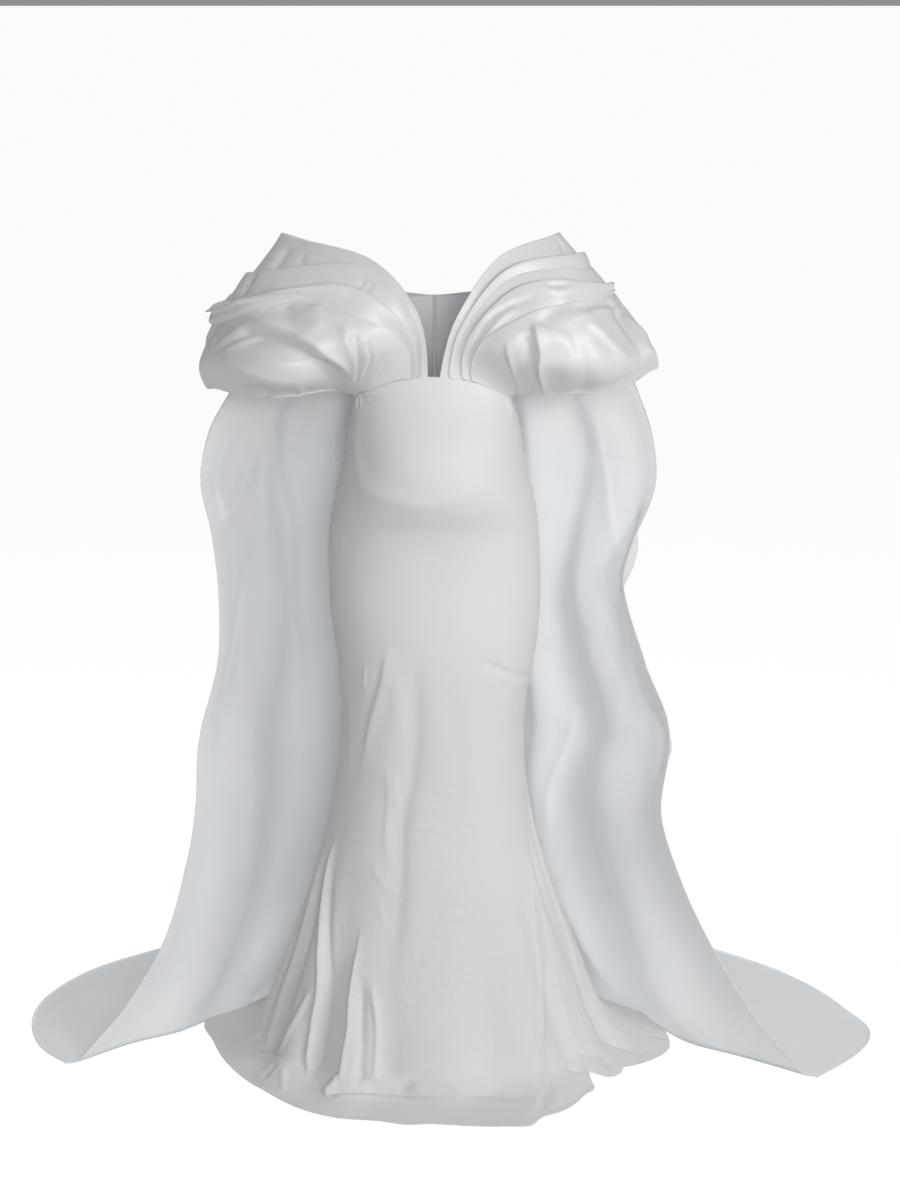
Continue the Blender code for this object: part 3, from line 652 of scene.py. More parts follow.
# %% Make the skirt
HEM_BAND = 0.014           # width of the turned-up hem
HEM_PROUD = 0.0005
HEM_STEP = 0.002           # width of the step at the band's upper edge
LIP_WIDE = 0.0035          # the empire seam's rolled edge
LIP_PROUD = 0.0014
LIP_RISE = 0.0022
RIDES_UP = 0.006           # how far the cape pushes the puddle's edge up
RIDES_FROM, RIDES_OVER = 86, 10    # from which angle on, and the degrees till it's all up
RIDES_WIDE = 0.035         # and how far from the hem it's felt
SKIRT_WALL = 0.0010
SKIRT_WAVER = 0.00045
SKIRT_ROWS = ((0, 0.006, 5), (0.05, 18), (0.22, 36), (0.38, 14), (0.44, 16), (0.59, 22),
              (0.68, 22), (1.0, 52), (2.0, 27))
FRONT_COLUMNS = ((-90, -80, 16), (-14, 108), (30, 36), (82, 58), (90, 12))
BACK_COLUMNS = {"left": ((-180, -100, 70), (-90, 18)), "right": ((90, 100, 18), (180, 70))}


def grid_lines(stretches):
    """Places of grid lines: a first stretch (from, to, count), then (to, count)."""
    start, end, count = stretches[0]
    places = [spread(start, end, count + 1)]
    for following, count in stretches[1:]:
        places.append(spread(end, following, count + 1)[1:])
        end = following
    return np.concatenate(places)


def rolled_lip(grid, normal):
    """The empire seam: its turned edge stands proud and covers the joint."""
    steps = np.linalg.norm(np.diff(grid, axis=0), axis=-1)
    from_seam = np.concatenate([np.zeros((1, grid.shape[1])), np.cumsum(steps, axis=0)])
    share = ease(1 - from_seam / LIP_WIDE)[..., None]
    return grid + normal * LIP_PROUD * share + np.array((0, 0, LIP_RISE)) * share


def off_floor(grid, wall):
    """No point goes lower than a sheet that lies on the floor."""
    grid[..., 2] = np.maximum(grid[..., 2], wall + SEAM_GAP - HOLD_HEIGHT)
    return grid


def hemmed(grid, normal, angle):
    """The sheet with its last band doubled, measured back from its last row. Behind
    the side seams its edge rides up the cape's inner side."""
    steps = np.linalg.norm(np.diff(grid, axis=0), axis=-1)
    from_hem = np.cumsum(steps[::-1], axis=0)[::-1]
    from_hem = np.concatenate([from_hem, np.zeros((1, grid.shape[1]))])
    proud = HEM_PROUD * ease((HEM_BAND + HEM_STEP - from_hem) / HEM_STEP)
    grid = grid + normal * proud[..., None]
    behind = ease((np.abs(angle) - RIDES_FROM) / RIDES_OVER)
    grid[..., 2] += RIDES_UP * behind * ease(1 - from_hem / RIDES_WIDE)
    return grid


def make_skirt_panel(name, columns, shift, creases):
    down = grid_lines(SKIRT_ROWS)[:, None]
    angle = grid_lines(columns)[None, :]
    grid = creased(skirt(angle, down), 1, creases, skirt)
    normal = normals_of(grid)
    grid = grid + normal * waver(grid, SKIRT_WAVER)[..., None]
    grid = off_floor(hemmed(rolled_lip(grid, normal), normal, angle), CREPE)
    return cloth(name, grid + np.array(shift), SKIRT_WALL, turned=True)


skirt_front = make_skirt_panel(
    "crepe_skirt_front", FRONT_COLUMNS, (0, -FLARE_GAP / 2, 0), FRONT_CREASES
)
skirt_backs = {
    side: make_skirt_panel(
        "crepe_skirt_back_" + side, BACK_COLUMNS[side],
        (way * FLARE_GAP / 2, FLARE_GAP / 2, 0), BACK_CREASES,
    )
    for side, way in (("left", -1), ("right", 1))
}

# %% [markdown]
# ## The pleated drapes
#
# Each drape is one wide piece of organza. It starts narrow at the empire seam, where it's
# gathered in, opens over the bust, goes round the arm as a sleeve and ends narrow at the
# back seam. Across it lie knife pleats whose folded edges face the neckline, so each lower
# layer laps over the one above it. The tables give the drape's two edges, how far it
# swells between them, and each pleat's place and depth.

# %% The drapes' form
SLEEVE_COLUMNS = ("along", "top_x", "top_y", "top_z", "low_x", "low_y", "low_z",
                  "swell_x", "swell_y", "swell_z")
SLEEVES = {
    "left": (
        (0.00, -0.006, -0.130, 1.321, -0.146, 0.000, 1.271, -0.027, -0.030, 0.000),
        (0.18, -0.027, -0.152, 1.436, -0.197, -0.080, 1.290, -0.002, -0.072, 0.020),
        (0.38, -0.108, -0.118, 1.527, -0.278, -0.105, 1.282, -0.038, -0.072, 0.012),
        (0.56, -0.225, -0.058, 1.556, -0.365, -0.062, 1.284, -0.044, -0.046, 0.010),
        (0.70, -0.276, 0.000, 1.563, -0.408, 0.000, 1.292, -0.040, -0.008, 0.002),
        (0.85, -0.226, 0.098, 1.515, -0.345, 0.085, 1.304, -0.040, 0.026, 0.000),
        (1.00, -0.118, 0.106, 1.452, -0.146, 0.068, 1.306, -0.014, 0.020, 0.000),
    ),
    "right": (
        (0.00, 0.008, -0.130, 1.321, 0.144, 0.000, 1.271, 0.027, -0.030, 0.000),
        (0.18, 0.038, -0.152, 1.424, 0.193, -0.075, 1.290, 0.002, -0.072, 0.020),
        (0.38, 0.114, -0.118, 1.531, 0.275, -0.105, 1.286, 0.036, -0.072, 0.012),
        (0.56, 0.206, -0.048, 1.562, 0.356, -0.060, 1.298, 0.034, -0.044, 0.008),
        (0.70, 0.228, 0.006, 1.562, 0.398, 0.000, 1.326, 0.026, -0.008, 0.002),
        (0.85, 0.206, 0.098, 1.515, 0.340, 0.085, 1.322, 0.036, 0.026, 0.000),
        (1.00, 0.118, 0.106, 1.452, 0.144, 0.068, 1.306, 0.014, 0.020, 0.000),
    ),
}
PLEAT_COLUMNS = ("at_seam", "at_bust", "at_arm", "deep_seam", "deep_arm", "starts", "fades")
PLEATS = {
    "left": (
        (0.035, 0.030, 0.28, 0.0032, 0.010, -0.20, 1.20),
        (0.085, 0.185, 0.56, 0.0032, 0.026, -0.20, 1.20),
        (0.135, 0.345, 0.42, 0.0032, 0.006, -0.20, 0.47),
    ),
    "right": (
        (0.07, 0.075, 0.17, 0.0032, 0.011, -0.20, 1.20),
        (0.13, 0.125, 0.27, 0.0028, 0.003, 0.20, 1.20),
        (0.18, 0.190, 0.40, 0.0032, 0.013, -0.20, 1.20),
        (0.26, 0.360, 0.47, 0.0032, 0.006, -0.20, 0.62),
    ),
}
BUST = 0.30                # places along
ARM = 0.70
SPREADS_BY = 0.55          # where the pleats have their full depth
FADES_OVER = 0.16
BACK_PRESSED = 0.97        # where all pleats are pressed flat before the back seam
PRESSES_OVER = 0.12
LAP_SEAM = 0.022           # how far a pleat laps, as a share of the width
LAP_ARM = 0.045
TURN_IN = 0.006            # half the share that a pleat takes up where it has opened
PRESSED_ROUND = 0.0014     # radius of a pleat's folded edge where it's pressed
SOFT_ROUND = 0.0060        # and where it stands softly over the arm
SHEET_LONG = 0.75          # mean length and width of the sheet
SHEET_WIDE = 0.33
SWELL_LOW = 1.5            # exponents of across: between the places where they make it
HANGS_LOW = 2.2            # a half, low on the drape, its weight lets it swell the most
SEAM_START = 3.0           # angle at which the drape's seam starts beside the centre


def sleeve_form(side, along, across):
    """The drape without pleats or folds: along runs from the empire seam to the back
    seam, across from the neckline to the low edge."""
    table = (SLEEVE_COLUMNS, *SLEEVES[side])
    wide = np.clip(across, 0, 1)
    rises, falls = np.minimum(wide ** SWELL_LOW, 0.5), np.maximum(wide ** HANGS_LOW, 0.5)
    swell = np.sin(np.pi * (rises + falls - 0.5))
    value = {}
    for axis in "xyz":
        top = curve(table, along, "top_" + axis)
        low = curve(table, along, "low_" + axis)
        stand = curve(table, along, "swell_" + axis)
        value[axis] = top + (low - top) * across + stand * swell
    way = -1 if side == "left" else 1
    seam_angle = way * (SEAM_START + (90 - SEAM_START) * across)
    seam_z = seam_height(seam_angle) + SEAM_GAP / 2
    seam_x, seam_y = body(seam_angle, seam_z)
    join = 1 - ease(along / 0.10)
    x = value["x"] + (seam_x - value["x"]) * join
    y = value["y"] + (seam_y - value["y"]) * join
    z = value["z"] + (seam_z - value["z"]) * join
    return points(x, y, z)


# %% [markdown]
# ### Folding the pleats
#
# A knife pleat is a flat Z. The upper cloth passes below the folded edge, turns back up
# inside, and comes over the edge as the lower layer. Here the rows of the sheet follow
# exactly that path: a round turn at the bottom, a hidden layer, and a round edge at the
# top. Where a pleat fades out, the Z opens and the rows lie one after another.

# %% Fold the pleats
LOW_TURN_ROWS = 4
EDGE_ROWS = 10
LAYER_FALLS = 1.25         # a layer lies down before it reaches the next pleat
BODY_FALLS = 2.5           # and the sleeve's body does so sooner


def pleat(side, number, along):
    """Where a pleat's edge lies across the sheet, how deep it steps, how far it laps
    over the cloth above it, and how much of it is left there."""
    row = dict(zip(PLEAT_COLUMNS, PLEATS[side][number]))
    to_bust = ease(along / BUST)
    to_arm = ease((along - BUST) / (ARM - BUST))
    edge = row["at_seam"] + (row["at_bust"] - row["at_seam"]) * to_bust
    edge = edge + (row["at_arm"] - row["at_bust"]) * to_arm
    spread_out = ease(along / SPREADS_BY)
    held = ease((along - row["starts"]) / FADES_OVER)
    held = held * ease((row["fades"] - along) / FADES_OVER)
    held = held * ease((BACK_PRESSED - along) / PRESSES_OVER)
    deep = (row["deep_seam"] + (row["deep_arm"] - row["deep_seam"]) * spread_out) * held
    lap = (LAP_SEAM + (LAP_ARM - LAP_SEAM) * spread_out) * held
    return edge, deep, lap, held


def flat_rows(side, number, along, count):
    """The visible cloth from one pleat's edge to where it passes below the next."""
    last = len(PLEATS[side])
    start, end, deep, fall = 0.0, 1.0, 0.0, LAYER_FALLS
    if number > 0:
        edge, deep, _, held = pleat(side, number - 1, along)
        start = edge + TURN_IN * (1 - held) + edge_radius(deep, along) / SHEET_WIDE
    if number < last:
        edge, _, lap, held = pleat(side, number, along)
        end = edge + lap - TURN_IN * (1 - held)
    else:
        fall = BODY_FALLS
    share = spread(0, 1, count)[None, :]
    across = start + (end - start) * share
    fallen = (ease(fall * share) + np.clip(fall * share, 0, 1)) / 2
    return across, deep * (1 - fallen)


def edge_radius(deep, along):
    softer = ease(along / SPREADS_BY)
    return np.minimum(PRESSED_ROUND + (SOFT_ROUND - PRESSED_ROUND) * softer, deep / 3)


def turned_rows(side, number, along):
    """The Z of one pleat, from the cloth above it to the cloth below."""
    edge, deep, lap, held = pleat(side, number, along)
    top = edge_radius(deep, along)
    low = np.minimum(top, deep / 6)
    opened = TURN_IN * (1 - held)
    across, stand = [], []
    for turn in np.radians(spread(-60, 90, LOW_TURN_ROWS)):
        across.append(edge + lap - opened + low / SHEET_WIDE * np.cos(turn))
        stand.append(low + low * np.sin(turn))
    for turn in np.radians(spread(270, 110, EDGE_ROWS)):
        share = (270 - np.degrees(turn)) / 180
        around = edge + top / SHEET_WIDE + top / SHEET_WIDE * np.cos(turn)
        across.append(around + opened * (2 * share - 1) * 0.9)
        stand.append(deep - top + top * np.sin(turn))
    return np.concatenate(across, axis=1), np.concatenate(stand, axis=1)


def pleated_rows(side, along, counts):
    """All rows of a drape: across and stand-off for each place along it."""
    parts = []
    for number, count in enumerate(counts):
        parts.append(flat_rows(side, number, along, count))
        if number < len(PLEATS[side]):
            parts.append(turned_rows(side, number, along))
    wide = [np.broadcast_to(a, (len(along), a.shape[1])) for a, _ in parts]
    tall = [np.broadcast_to(s, (len(along), s.shape[1])) for _, s in parts]
    return np.concatenate(wide, axis=1), np.concatenate(tall, axis=1)


# %% [markdown]
# ### The drapes' folds
#
# Between the pleats the organza is full of soft folds that fan out from the seam ends:
# broad ones that carry the light, and narrow ones that draw it. On the left the upper
# layers roll over a deep valley that runs from the seam's end to the sleeve, on the right
# a sharp ridge falls from the bust to the low edge. They are creases as on the skirt,
# laid in the flat sheet's own metres, by place along and across.

# %% The drapes' folds: half width, depth, lean, then along and across of each place
DRAPE_CREASES = {
    "left": (
        # the roll of the upper layers, the valley below it and the body of the sleeve
        (11, 8, -0.5, (0.6, 0.49), (0.52, 0.53), (0.455, 0.545), (0.405, 0.552),
         (0.33, 0.59), (0.253, 0.695), (0.15, 0.79), (0.062, 0.8)),
        (17, -20, 0.4, (0.56, 0.6), (0.49, 0.61), (0.42, 0.612), (0.345, 0.66),
         (0.265, 0.77), (0.16, 0.86), (0.05, 0.85)),
        (34, 5, 0, (0.14, 0.97), (0.28, 0.92), (0.44, 0.86), (0.6, 0.84), (0.72, 0.8)),
        # the long dimple of the outer end with its bright rim
        (7.5, -4, 0, (0.5, 0.56), (0.545, 0.66), (0.6, 0.775)),
        (5, 2.2, 0.3, (0.525, 0.535), (0.568, 0.635), (0.612, 0.755)),
        (5.5, 2.4, 0.3, (0.48, 0.58), (0.52, 0.68), (0.58, 0.79)),
        # folds that fan out from the seam's end
        (9, 6, 0.4, (0.31, 0.385), (0.27, 0.47), (0.237, 0.557), (0.15, 0.69),
         (0.062, 0.782)),
        (6, -5.6, 0.2, (0.262, 0.42), (0.225, 0.52), (0.177, 0.603), (0.063, 0.748)),
        (5.5, 3.6, 0, (0.235, 0.43), (0.18, 0.53), (0.12, 0.615), (0.06, 0.725)),
        (5.5, -4.2, 0.3, (0.205, 0.44), (0.168, 0.508), (0.112, 0.55), (0.055, 0.675)),
        (4.5, 2.8, 0.3, (0.165, 0.34), (0.125, 0.4), (0.093, 0.452), (0.05, 0.63)),
        (4.5, -2.2, 0, (0.135, 0.36), (0.08, 0.43), (0.04, 0.54)),
        (4, -1.6, 0, (0.095, 0.33), (0.06, 0.4), (0.03, 0.48)),
        # the hollow and the swell on the upper arm
        (14, -4.5, 0.1, (0.49, 0.38), (0.455, 0.43), (0.415, 0.5), (0.35, 0.55)),
        (14, 3.6, 0, (0.42, 0.35), (0.37, 0.42), (0.33, 0.52)),
        (11, 4, 0, (0.59, 0.5), (0.54, 0.47), (0.5, 0.455)),
        # waves of the upper bands
        (7.5, 3, 0.3, (0.57, 0.35), (0.5, 0.275), (0.43, 0.215), (0.38, 0.19)),
        (4.5, -1.6, 0, (0.48, 0.25), (0.425, 0.2), (0.37, 0.165)),
        (4, -2.2, 0, (0.357, 0.11), (0.352, 0.165), (0.345, 0.2)),
        (4, -1.6, 0, (0.335, 0.1), (0.33, 0.15), (0.322, 0.19)),
        (4.5, -2.2, 0.3, (0.545, 0.08), (0.53, 0.125), (0.505, 0.175)),
        (12, -4, 0, (0.6, 0.06), (0.6, 0.15), (0.59, 0.23)),
        (7, -12, -0.6, (0.64, 0.27), (0.632, 0.34), (0.622, 0.43)),
        (10, 6, 0, (0.667, 0.42), (0.69, 0.48), (0.7, 0.56)),
        (10, 6, 0, (0.665, 0.56), (0.672, 0.64), (0.67, 0.76)),
        # the body above the low edge, pressed in a little by its own weight
        (11, -4, 0.1, (0.68, 0.9), (0.48, 0.95), (0.33, 0.97), (0.16, 1)),
        (11, 3, 0.3, (0.6, 0.74), (0.46, 0.83), (0.34, 0.88), (0.18, 0.93)),
        (9, 3, 0.3, (0.64, 0.64), (0.61, 0.76), (0.56, 0.86)),
        # the outer end, out to a corner at the low edge
        (20, 11, 0.2, (0.6, 0.78), (0.65, 0.9), (0.69, 1.06), (0.72, 1.5)),
        # the low edge
        (12, -4, 0.2, (0.43, 0.9), (0.42, 1), (0.415, 1.5)),
        (11, 3.5, 0.2, (0.54, 0.9), (0.535, 1), (0.53, 1.5)),
        (8, 3, 0.3, (0.3, 0.9), (0.29, 1), (0.28, 1.5)),
    ),
    "right": (
        # the small loop below the second pleat
        (4.5, 2.6, 0.3, (0.4, 0.262), (0.433, 0.318), (0.48, 0.338), (0.515, 0.326)),
        (4.5, -3.4, 0, (0.42, 0.27), (0.455, 0.3), (0.495, 0.308)),
        (4.5, 2, 0, (0.41, 0.255), (0.44, 0.262), (0.5, 0.28), (0.53, 0.305)),
        # the folds that run down beside the neckline
        (5, -3.4, 0.4, (0.4, 0.285), (0.355, 0.285), (0.3, 0.255), (0.24, 0.235),
         (0.163, 0.25), (0.06, 0.205)),
        (5.5, 3, 0.3, (0.33, 0.3), (0.27, 0.29), (0.19, 0.31), (0.09, 0.27)),
        # the loop at the end of the lowest pleat
        (6, 4, 0.4, (0.645, 0.54), (0.6, 0.52), (0.528, 0.487), (0.47, 0.47)),
        (9, -6, 0.2, (0.62, 0.49), (0.56, 0.455), (0.49, 0.44), (0.43, 0.435)),
        (15, -8, 0.2, (0.46, 0.395), (0.4, 0.405), (0.35, 0.43), (0.32, 0.48)),
        # the sharp ridge with its dark side, and the softer ones beside it
        (9, 11, 0.6, (0.325, 0.4), (0.296, 0.51), (0.264, 0.67), (0.21, 0.9), (0.15, 1.55)),
        (9, -5.6, -0.3, (0.28, 0.45), (0.25, 0.62), (0.19, 0.9), (0.13, 1.5)),
        (9, 6, 0.4, (0.24, 0.42), (0.152, 0.667), (0.075, 0.88), (0.02, 1.4)),
        (8, -4.5, 0.2, (0.18, 0.52), (0.11, 0.7), (0.045, 0.86)),
        (15, 5, 0.3, (0.445, 0.47), (0.47, 0.6), (0.5, 0.76), (0.56, 1)),
        (26, -5, 0.1, (0.4, 0.43), (0.385, 0.62), (0.36, 0.85), (0.33, 1.5)),
        (6, 2.6, 0, (0.41, 0.49), (0.45, 0.478), (0.49, 0.52)),
        (20, -4, 0.2, (0.56, 0.47), (0.585, 0.66), (0.6, 0.9)),
        # the outer end: drawn in above, and out to a point at the low edge
        (26, -9, 0, (0.56, 0.56), (0.64, 0.6), (0.74, 0.62)),
        (20, 12, 0.2, (0.6, 0.76), (0.65, 0.9), (0.69, 1.06), (0.72, 1.5)),
        # the body above the low edge, pressed in a little by its own weight
        (11, -3, 0.1, (0.24, 0.975), (0.38, 0.965), (0.52, 0.955), (0.68, 0.93)),
        # soft folds of the shoulder's end
        (8, -3, 0, (0.6, 0.03), (0.59, 0.08), (0.56, 0.12)),
        (5, 2.4, 0, (0.56, 0.23), (0.53, 0.215), (0.48, 0.2)),
        (14, 5, 0, (0.65, 0.6), (0.665, 0.7), (0.65, 0.82)),
    ),
}
# the back of each sleeve, which isn't seen, has its own
DRAPE_BACK_CREASES = (
    (10, -5, 0.3, (0.72, 0.3), (0.84, 0.38), (0.94, 0.38)),
    (12, 5, 0, (0.74, 0.46), (0.86, 0.5), (0.96, 0.46)),
    (11, -7, 0.3, (0.74, 0.62), (0.85, 0.62), (0.96, 0.55)),
    (12, 6, 0, (0.76, 0.8), (0.86, 0.76), (0.96, 0.66)),
    (10, -5, 0, (0.76, 0.95), (0.86, 0.9), (0.96, 0.78)),
)


def sheet_place(along, across):
    """A place on a drape in the metres of the flat sheet."""
    flat = np.broadcast_arrays(along * SHEET_LONG, across * SHEET_WIDE, 0.0)
    return np.stack(flat, axis=-1)


def drape_folds(side, along, across):
    """How far the folds of a drape stand out, worked out in its flat sheet."""
    place = sheet_place(along, across).reshape(-1, 3)
    up = np.zeros(place.shape)
    up[:, 2] = 1
    creases = crease_lines((*DRAPE_CREASES[side], *DRAPE_BACK_CREASES), sheet_place)
    return relief(place, up, creases).reshape(along.shape)


# %% [markdown]
# ### Making the drapes
#
# A drape's low edge is turned in and up, as a soft sleeve's is, so the sheet ends in a
# roll. Towards the back it comes close to the cape and is pressed flat there.

# %% Make the drapes
DRAPE_WALL = 0.0007
DRAPE_WAVER = 0.0009
DRAPE_STEPS = ((0, 0.1, 23), (1.0, 159))
FIRST_ROWS, LAYER_ROWS, BODY_ROWS = 16, 14, 52     # above, between and below the pleats
ROLL_ROWS = 12
ROLL_TURN = np.pi * 0.8
ROLL_RADIUS = 0.006        # of the low edge over the arm
PRESSED_ROLL = 0.003       # and at both seams
ROLL_GROWS = 0.25          # share of the length between them
ARM_X = 0.26               # the middle of the arm
SEAM_HOLDS = 0.08          # share of the length where a seam keeps the folds small
BACK_SOFT = 0.010          # how far before the back line a drape begins to flatten
NEARBY = 1e-3              # step for slopes


def stop_before(value, limit, soft):
    """The value, bent so that it comes close to the limit and never passes it."""
    near = limit - soft
    return np.where(value > near, limit - soft * np.exp(-(value - near) / soft), value)


def roll_under(grid, along, share):
    """The low edge turned in and up: the points curl towards the arm's middle."""
    turn = share * ROLL_TURN
    towards = np.zeros(grid.shape)
    towards[..., 0] = np.sign(grid[..., 0]) * ARM_X - grid[..., 0]
    towards[..., 1] = -grid[..., 1]
    towards /= np.maximum(np.linalg.norm(towards, axis=-1, keepdims=True), 1e-6)
    free = ease(along / ROLL_GROWS) * ease((1 - along) / ROLL_GROWS)
    radius = ROLL_RADIUS * free + PRESSED_ROLL
    inward = radius * (1 - np.cos(turn))
    lift = radius * (np.sin(turn * 0.5) - np.sin(turn))
    grid = grid + towards * inward[..., None]
    grid[..., 2] += lift
    return grid


def make_drape(side):
    along = grid_lines(DRAPE_STEPS)[:, None]
    counts = (FIRST_ROWS, *([LAYER_ROWS] * (len(PLEATS[side]) - 1)), BODY_ROWS)
    across, stand = pleated_rows(side, along, counts)
    flat = across.shape[1]
    across = np.concatenate([across, np.ones((len(along), ROLL_ROWS))], axis=1)
    stand = np.concatenate([stand, np.zeros((len(along), ROLL_ROWS))], axis=1)
    share = np.concatenate([np.zeros(flat), spread(0, 1, ROLL_ROWS + 1)[1:]])[None, :]
    form = sleeve_form(side, along, across)
    run = sleeve_form(side, along + NEARBY, across)
    run = run - sleeve_form(side, along - NEARBY, across)
    fall = form - sleeve_form(side, along, across - NEARBY)
    way = -1 if side == "left" else 1
    normal = way * np.cross(fall, run)
    normal /= np.linalg.norm(normal, axis=-1, keepdims=True)
    held = ease(along / SEAM_HOLDS) * ease((1 - along) / SEAM_HOLDS)
    wide = np.broadcast_to(along, across.shape)
    stand = stand + drape_folds(side, wide, across) * held
    grid = form + normal * stand[..., None]
    grid = grid + normal * (waver(grid, DRAPE_WAVER) * held)[..., None]
    grid[..., 1] = stop_before(grid[..., 1], BACK_LINE, BACK_SOFT)
    grid = roll_under(grid, wide, np.broadcast_to(share, across.shape))
    return cloth("organza_drape_" + side, grid, DRAPE_WALL, turned=side == "left")


drapes = {side: make_drape(side) for side in ("left", "right")}

# %% [markdown]
# ## The back of the bodice
#
# Two curved pieces close the bodice behind. They meet the drapes at the side seams and
# each other at the centre back, and they carry the cape.

# %% Make the bodice's back
BAND_TOP_SIDE = 1.405
BAND_TOP_BACK = 1.440
BAND_ARCH = 70             # half width, in degrees, of the rise at the centre back
BAND_COLUMNS, BAND_ROWS = 90, 60


def band(angle, up):
    """The back of the bodice, from the empire seam up to the back neckline."""
    low = SEAM_SIDE + SEAM_GAP / 2
    back = bump(apart(angle, 180), BAND_ARCH)
    top = BAND_TOP_SIDE + (BAND_TOP_BACK - BAND_TOP_SIDE) * back
    height = low + (top - low) * up
    x, y = body(angle, height)
    return points(x, y, height)


bodice_backs = {}
for side, way, first, last in (("left", -1, -180, -91), ("right", 1, 91, 180)):
    panel = band(
        spread(first, last, BAND_COLUMNS)[None, :], spread(0, 1, BAND_ROWS)[:, None]
    )
    shift = np.array((way * SEAM_GAP / 2, 0, 0))
    bodice_backs[side] = cloth("organza_bodice_back_" + side, panel + shift, DRAPE_WALL)

# %% [markdown]
# ## The cape
#
# The cape hangs from the backs of the sleeves and the back neckline, round behind the
# wearer, and turns out onto the floor as a half-round train. It's shaped as one sheet,
# and parted into its two widths later. Its tables give the arch behind the body at each
# height, the line on the floor, and the train's hem. Across runs from the left free edge
# (0) round the back to the right one (1), and down from the top (0) to the floor (1) and
# on to the train's hem (2).

# %% The cape's large form
CAPE = (
    ("height", "back", "left_x", "left_y", "right_x", "right_y", "bend"),
    (1.500, 0.110, -0.330, 0.110, 0.330, 0.110, 2.4),
    (1.400, 0.110, -0.345, 0.110, 0.345, 0.110, 2.4),
    (1.300, 0.118, -0.362, 0.110, 0.366, 0.110, 2.4),
    (1.180, 0.140, -0.425, 0.114, 0.408, 0.110, 2.4),
    (1.090, 0.162, -0.442, 0.116, 0.418, 0.110, 2.3),
    (0.980, 0.188, -0.423, 0.116, 0.388, 0.104, 2.2),
    (0.880, 0.208, -0.413, 0.112, 0.368, 0.098, 2.2),
    (0.740, 0.238, -0.416, 0.102, 0.402, 0.090, 2.1),
    (0.580, 0.272, -0.455, 0.088, 0.460, 0.074, 1.9),
    (0.450, 0.302, -0.463, 0.070, 0.436, 0.054, 1.8),
    (0.330, 0.334, -0.484, 0.046, 0.470, 0.028, 1.6),
    (0.180, 0.384, -0.535, 0.000, 0.546, -0.030, 1.45),
    (0.070, 0.432, -0.610, -0.052, 0.622, -0.095, 1.32),
    (0.000, 0.462, -0.682, -0.105, 0.698, -0.165, 1.25),
)
SEATED = (1.200, 1.310)    # from hanging free to lying flat on the sleeves' backs
FOLDS_LIE_DOWN = 0.10      # last share of the way down, where the folds get low
FOLDS_LEFT = 0.25          # and how much of them is left on the floor
PRESSED_FLAT = 0.7         # how much of an outward fold is lost on the sleeves' backs
SETTLES = 0.30             # height from which it comes round to its line on the floor
GROUND = (
    ("across", "x", "y"),
    (0.00, -0.682, -0.105), (0.06, -0.588, -0.018), (0.12, -0.510, 0.034),
    (0.18, -0.455, 0.086), (0.25, -0.398, 0.142), (0.33, -0.345, 0.208),
    (0.42, -0.190, 0.368), (0.50, 0.000, 0.440), (0.58, 0.190, 0.368),
    (0.67, 0.338, 0.188), (0.75, 0.404, 0.134), (0.82, 0.442, 0.056),
    (0.88, 0.500, -0.020), (0.94, 0.590, -0.083), (1.00, 0.698, -0.165),
)
CAPE_TOP = (
    ("inwards", "height"),
    (0.0, 1.385), (0.16, 1.455), (0.36, 1.494), (0.62, 1.458), (1.0, 1.438),
)
TRAIN = (
    ("across", "angle", "reach"),
    (0.00, -81.0, 0.712), (0.05, -88.0, 0.768), (0.11, -100.0, 0.813),
    (0.18, -114.0, 0.805), (0.26, -130.0, 0.752), (0.36, -152.0, 0.735),
    (0.50, -180.0, 0.760), (0.64, -208.0, 0.735), (0.74, -230.0, 0.752),
    (0.82, -246.0, 0.800), (0.89, -259.0, 0.832), (0.95, -270.0, 0.846),
    (1.00, -283.5, 0.742),
)
CAPE_FOLDS = (
    ("across", "half_width", "top_depth", "low_depth"),
    (0.045, 0.030, 0.006, 0.008),
    (0.110, 0.040, -0.009, -0.016),
    (0.185, 0.040, 0.011, 0.021),
    (0.265, 0.036, -0.012, -0.024),
    (0.345, 0.036, 0.012, 0.026),
    (0.420, 0.034, -0.008, -0.022),
    (0.500, 0.036, 0.008, 0.024),
    (0.580, 0.034, -0.008, -0.022),
    (0.655, 0.036, 0.012, 0.026),
    (0.735, 0.036, -0.012, -0.024),
    (0.815, 0.040, 0.010, 0.018),
    (0.890, 0.038, -0.009, -0.013),
    (0.955, 0.030, 0.006, 0.008),
)
# Places where the right free edge curls inwards and the cloth behind it shows past it.
EDGE_CURLS = (
    ("height", "half_height", "bulge", "inward"),
    (0.935, 0.075, 0.030, 0.014),
    (0.560, 0.065, 0.026, 0.010),
)
BULGE_AT, BULGE_WIDE = 0.960, 0.018    # places across
CURL_FROM, CURL_WIDE = 0.968, 0.032


def cape_section(across, height):
    """x and y of the cape's arch round the back, without folds, at a height."""
    left = across < 0.5
    edge_x = np.where(left, curve(CAPE, height, "left_x"), curve(CAPE, height, "right_x"))
    edge_y = np.where(left, curve(CAPE, height, "left_y"), curve(CAPE, height, "right_y"))
    back = curve(CAPE, height, "back")
    out = np.abs(2 * across - 1)
    return edge_x * out, back + (edge_y - back) * out ** curve(CAPE, height, "bend")


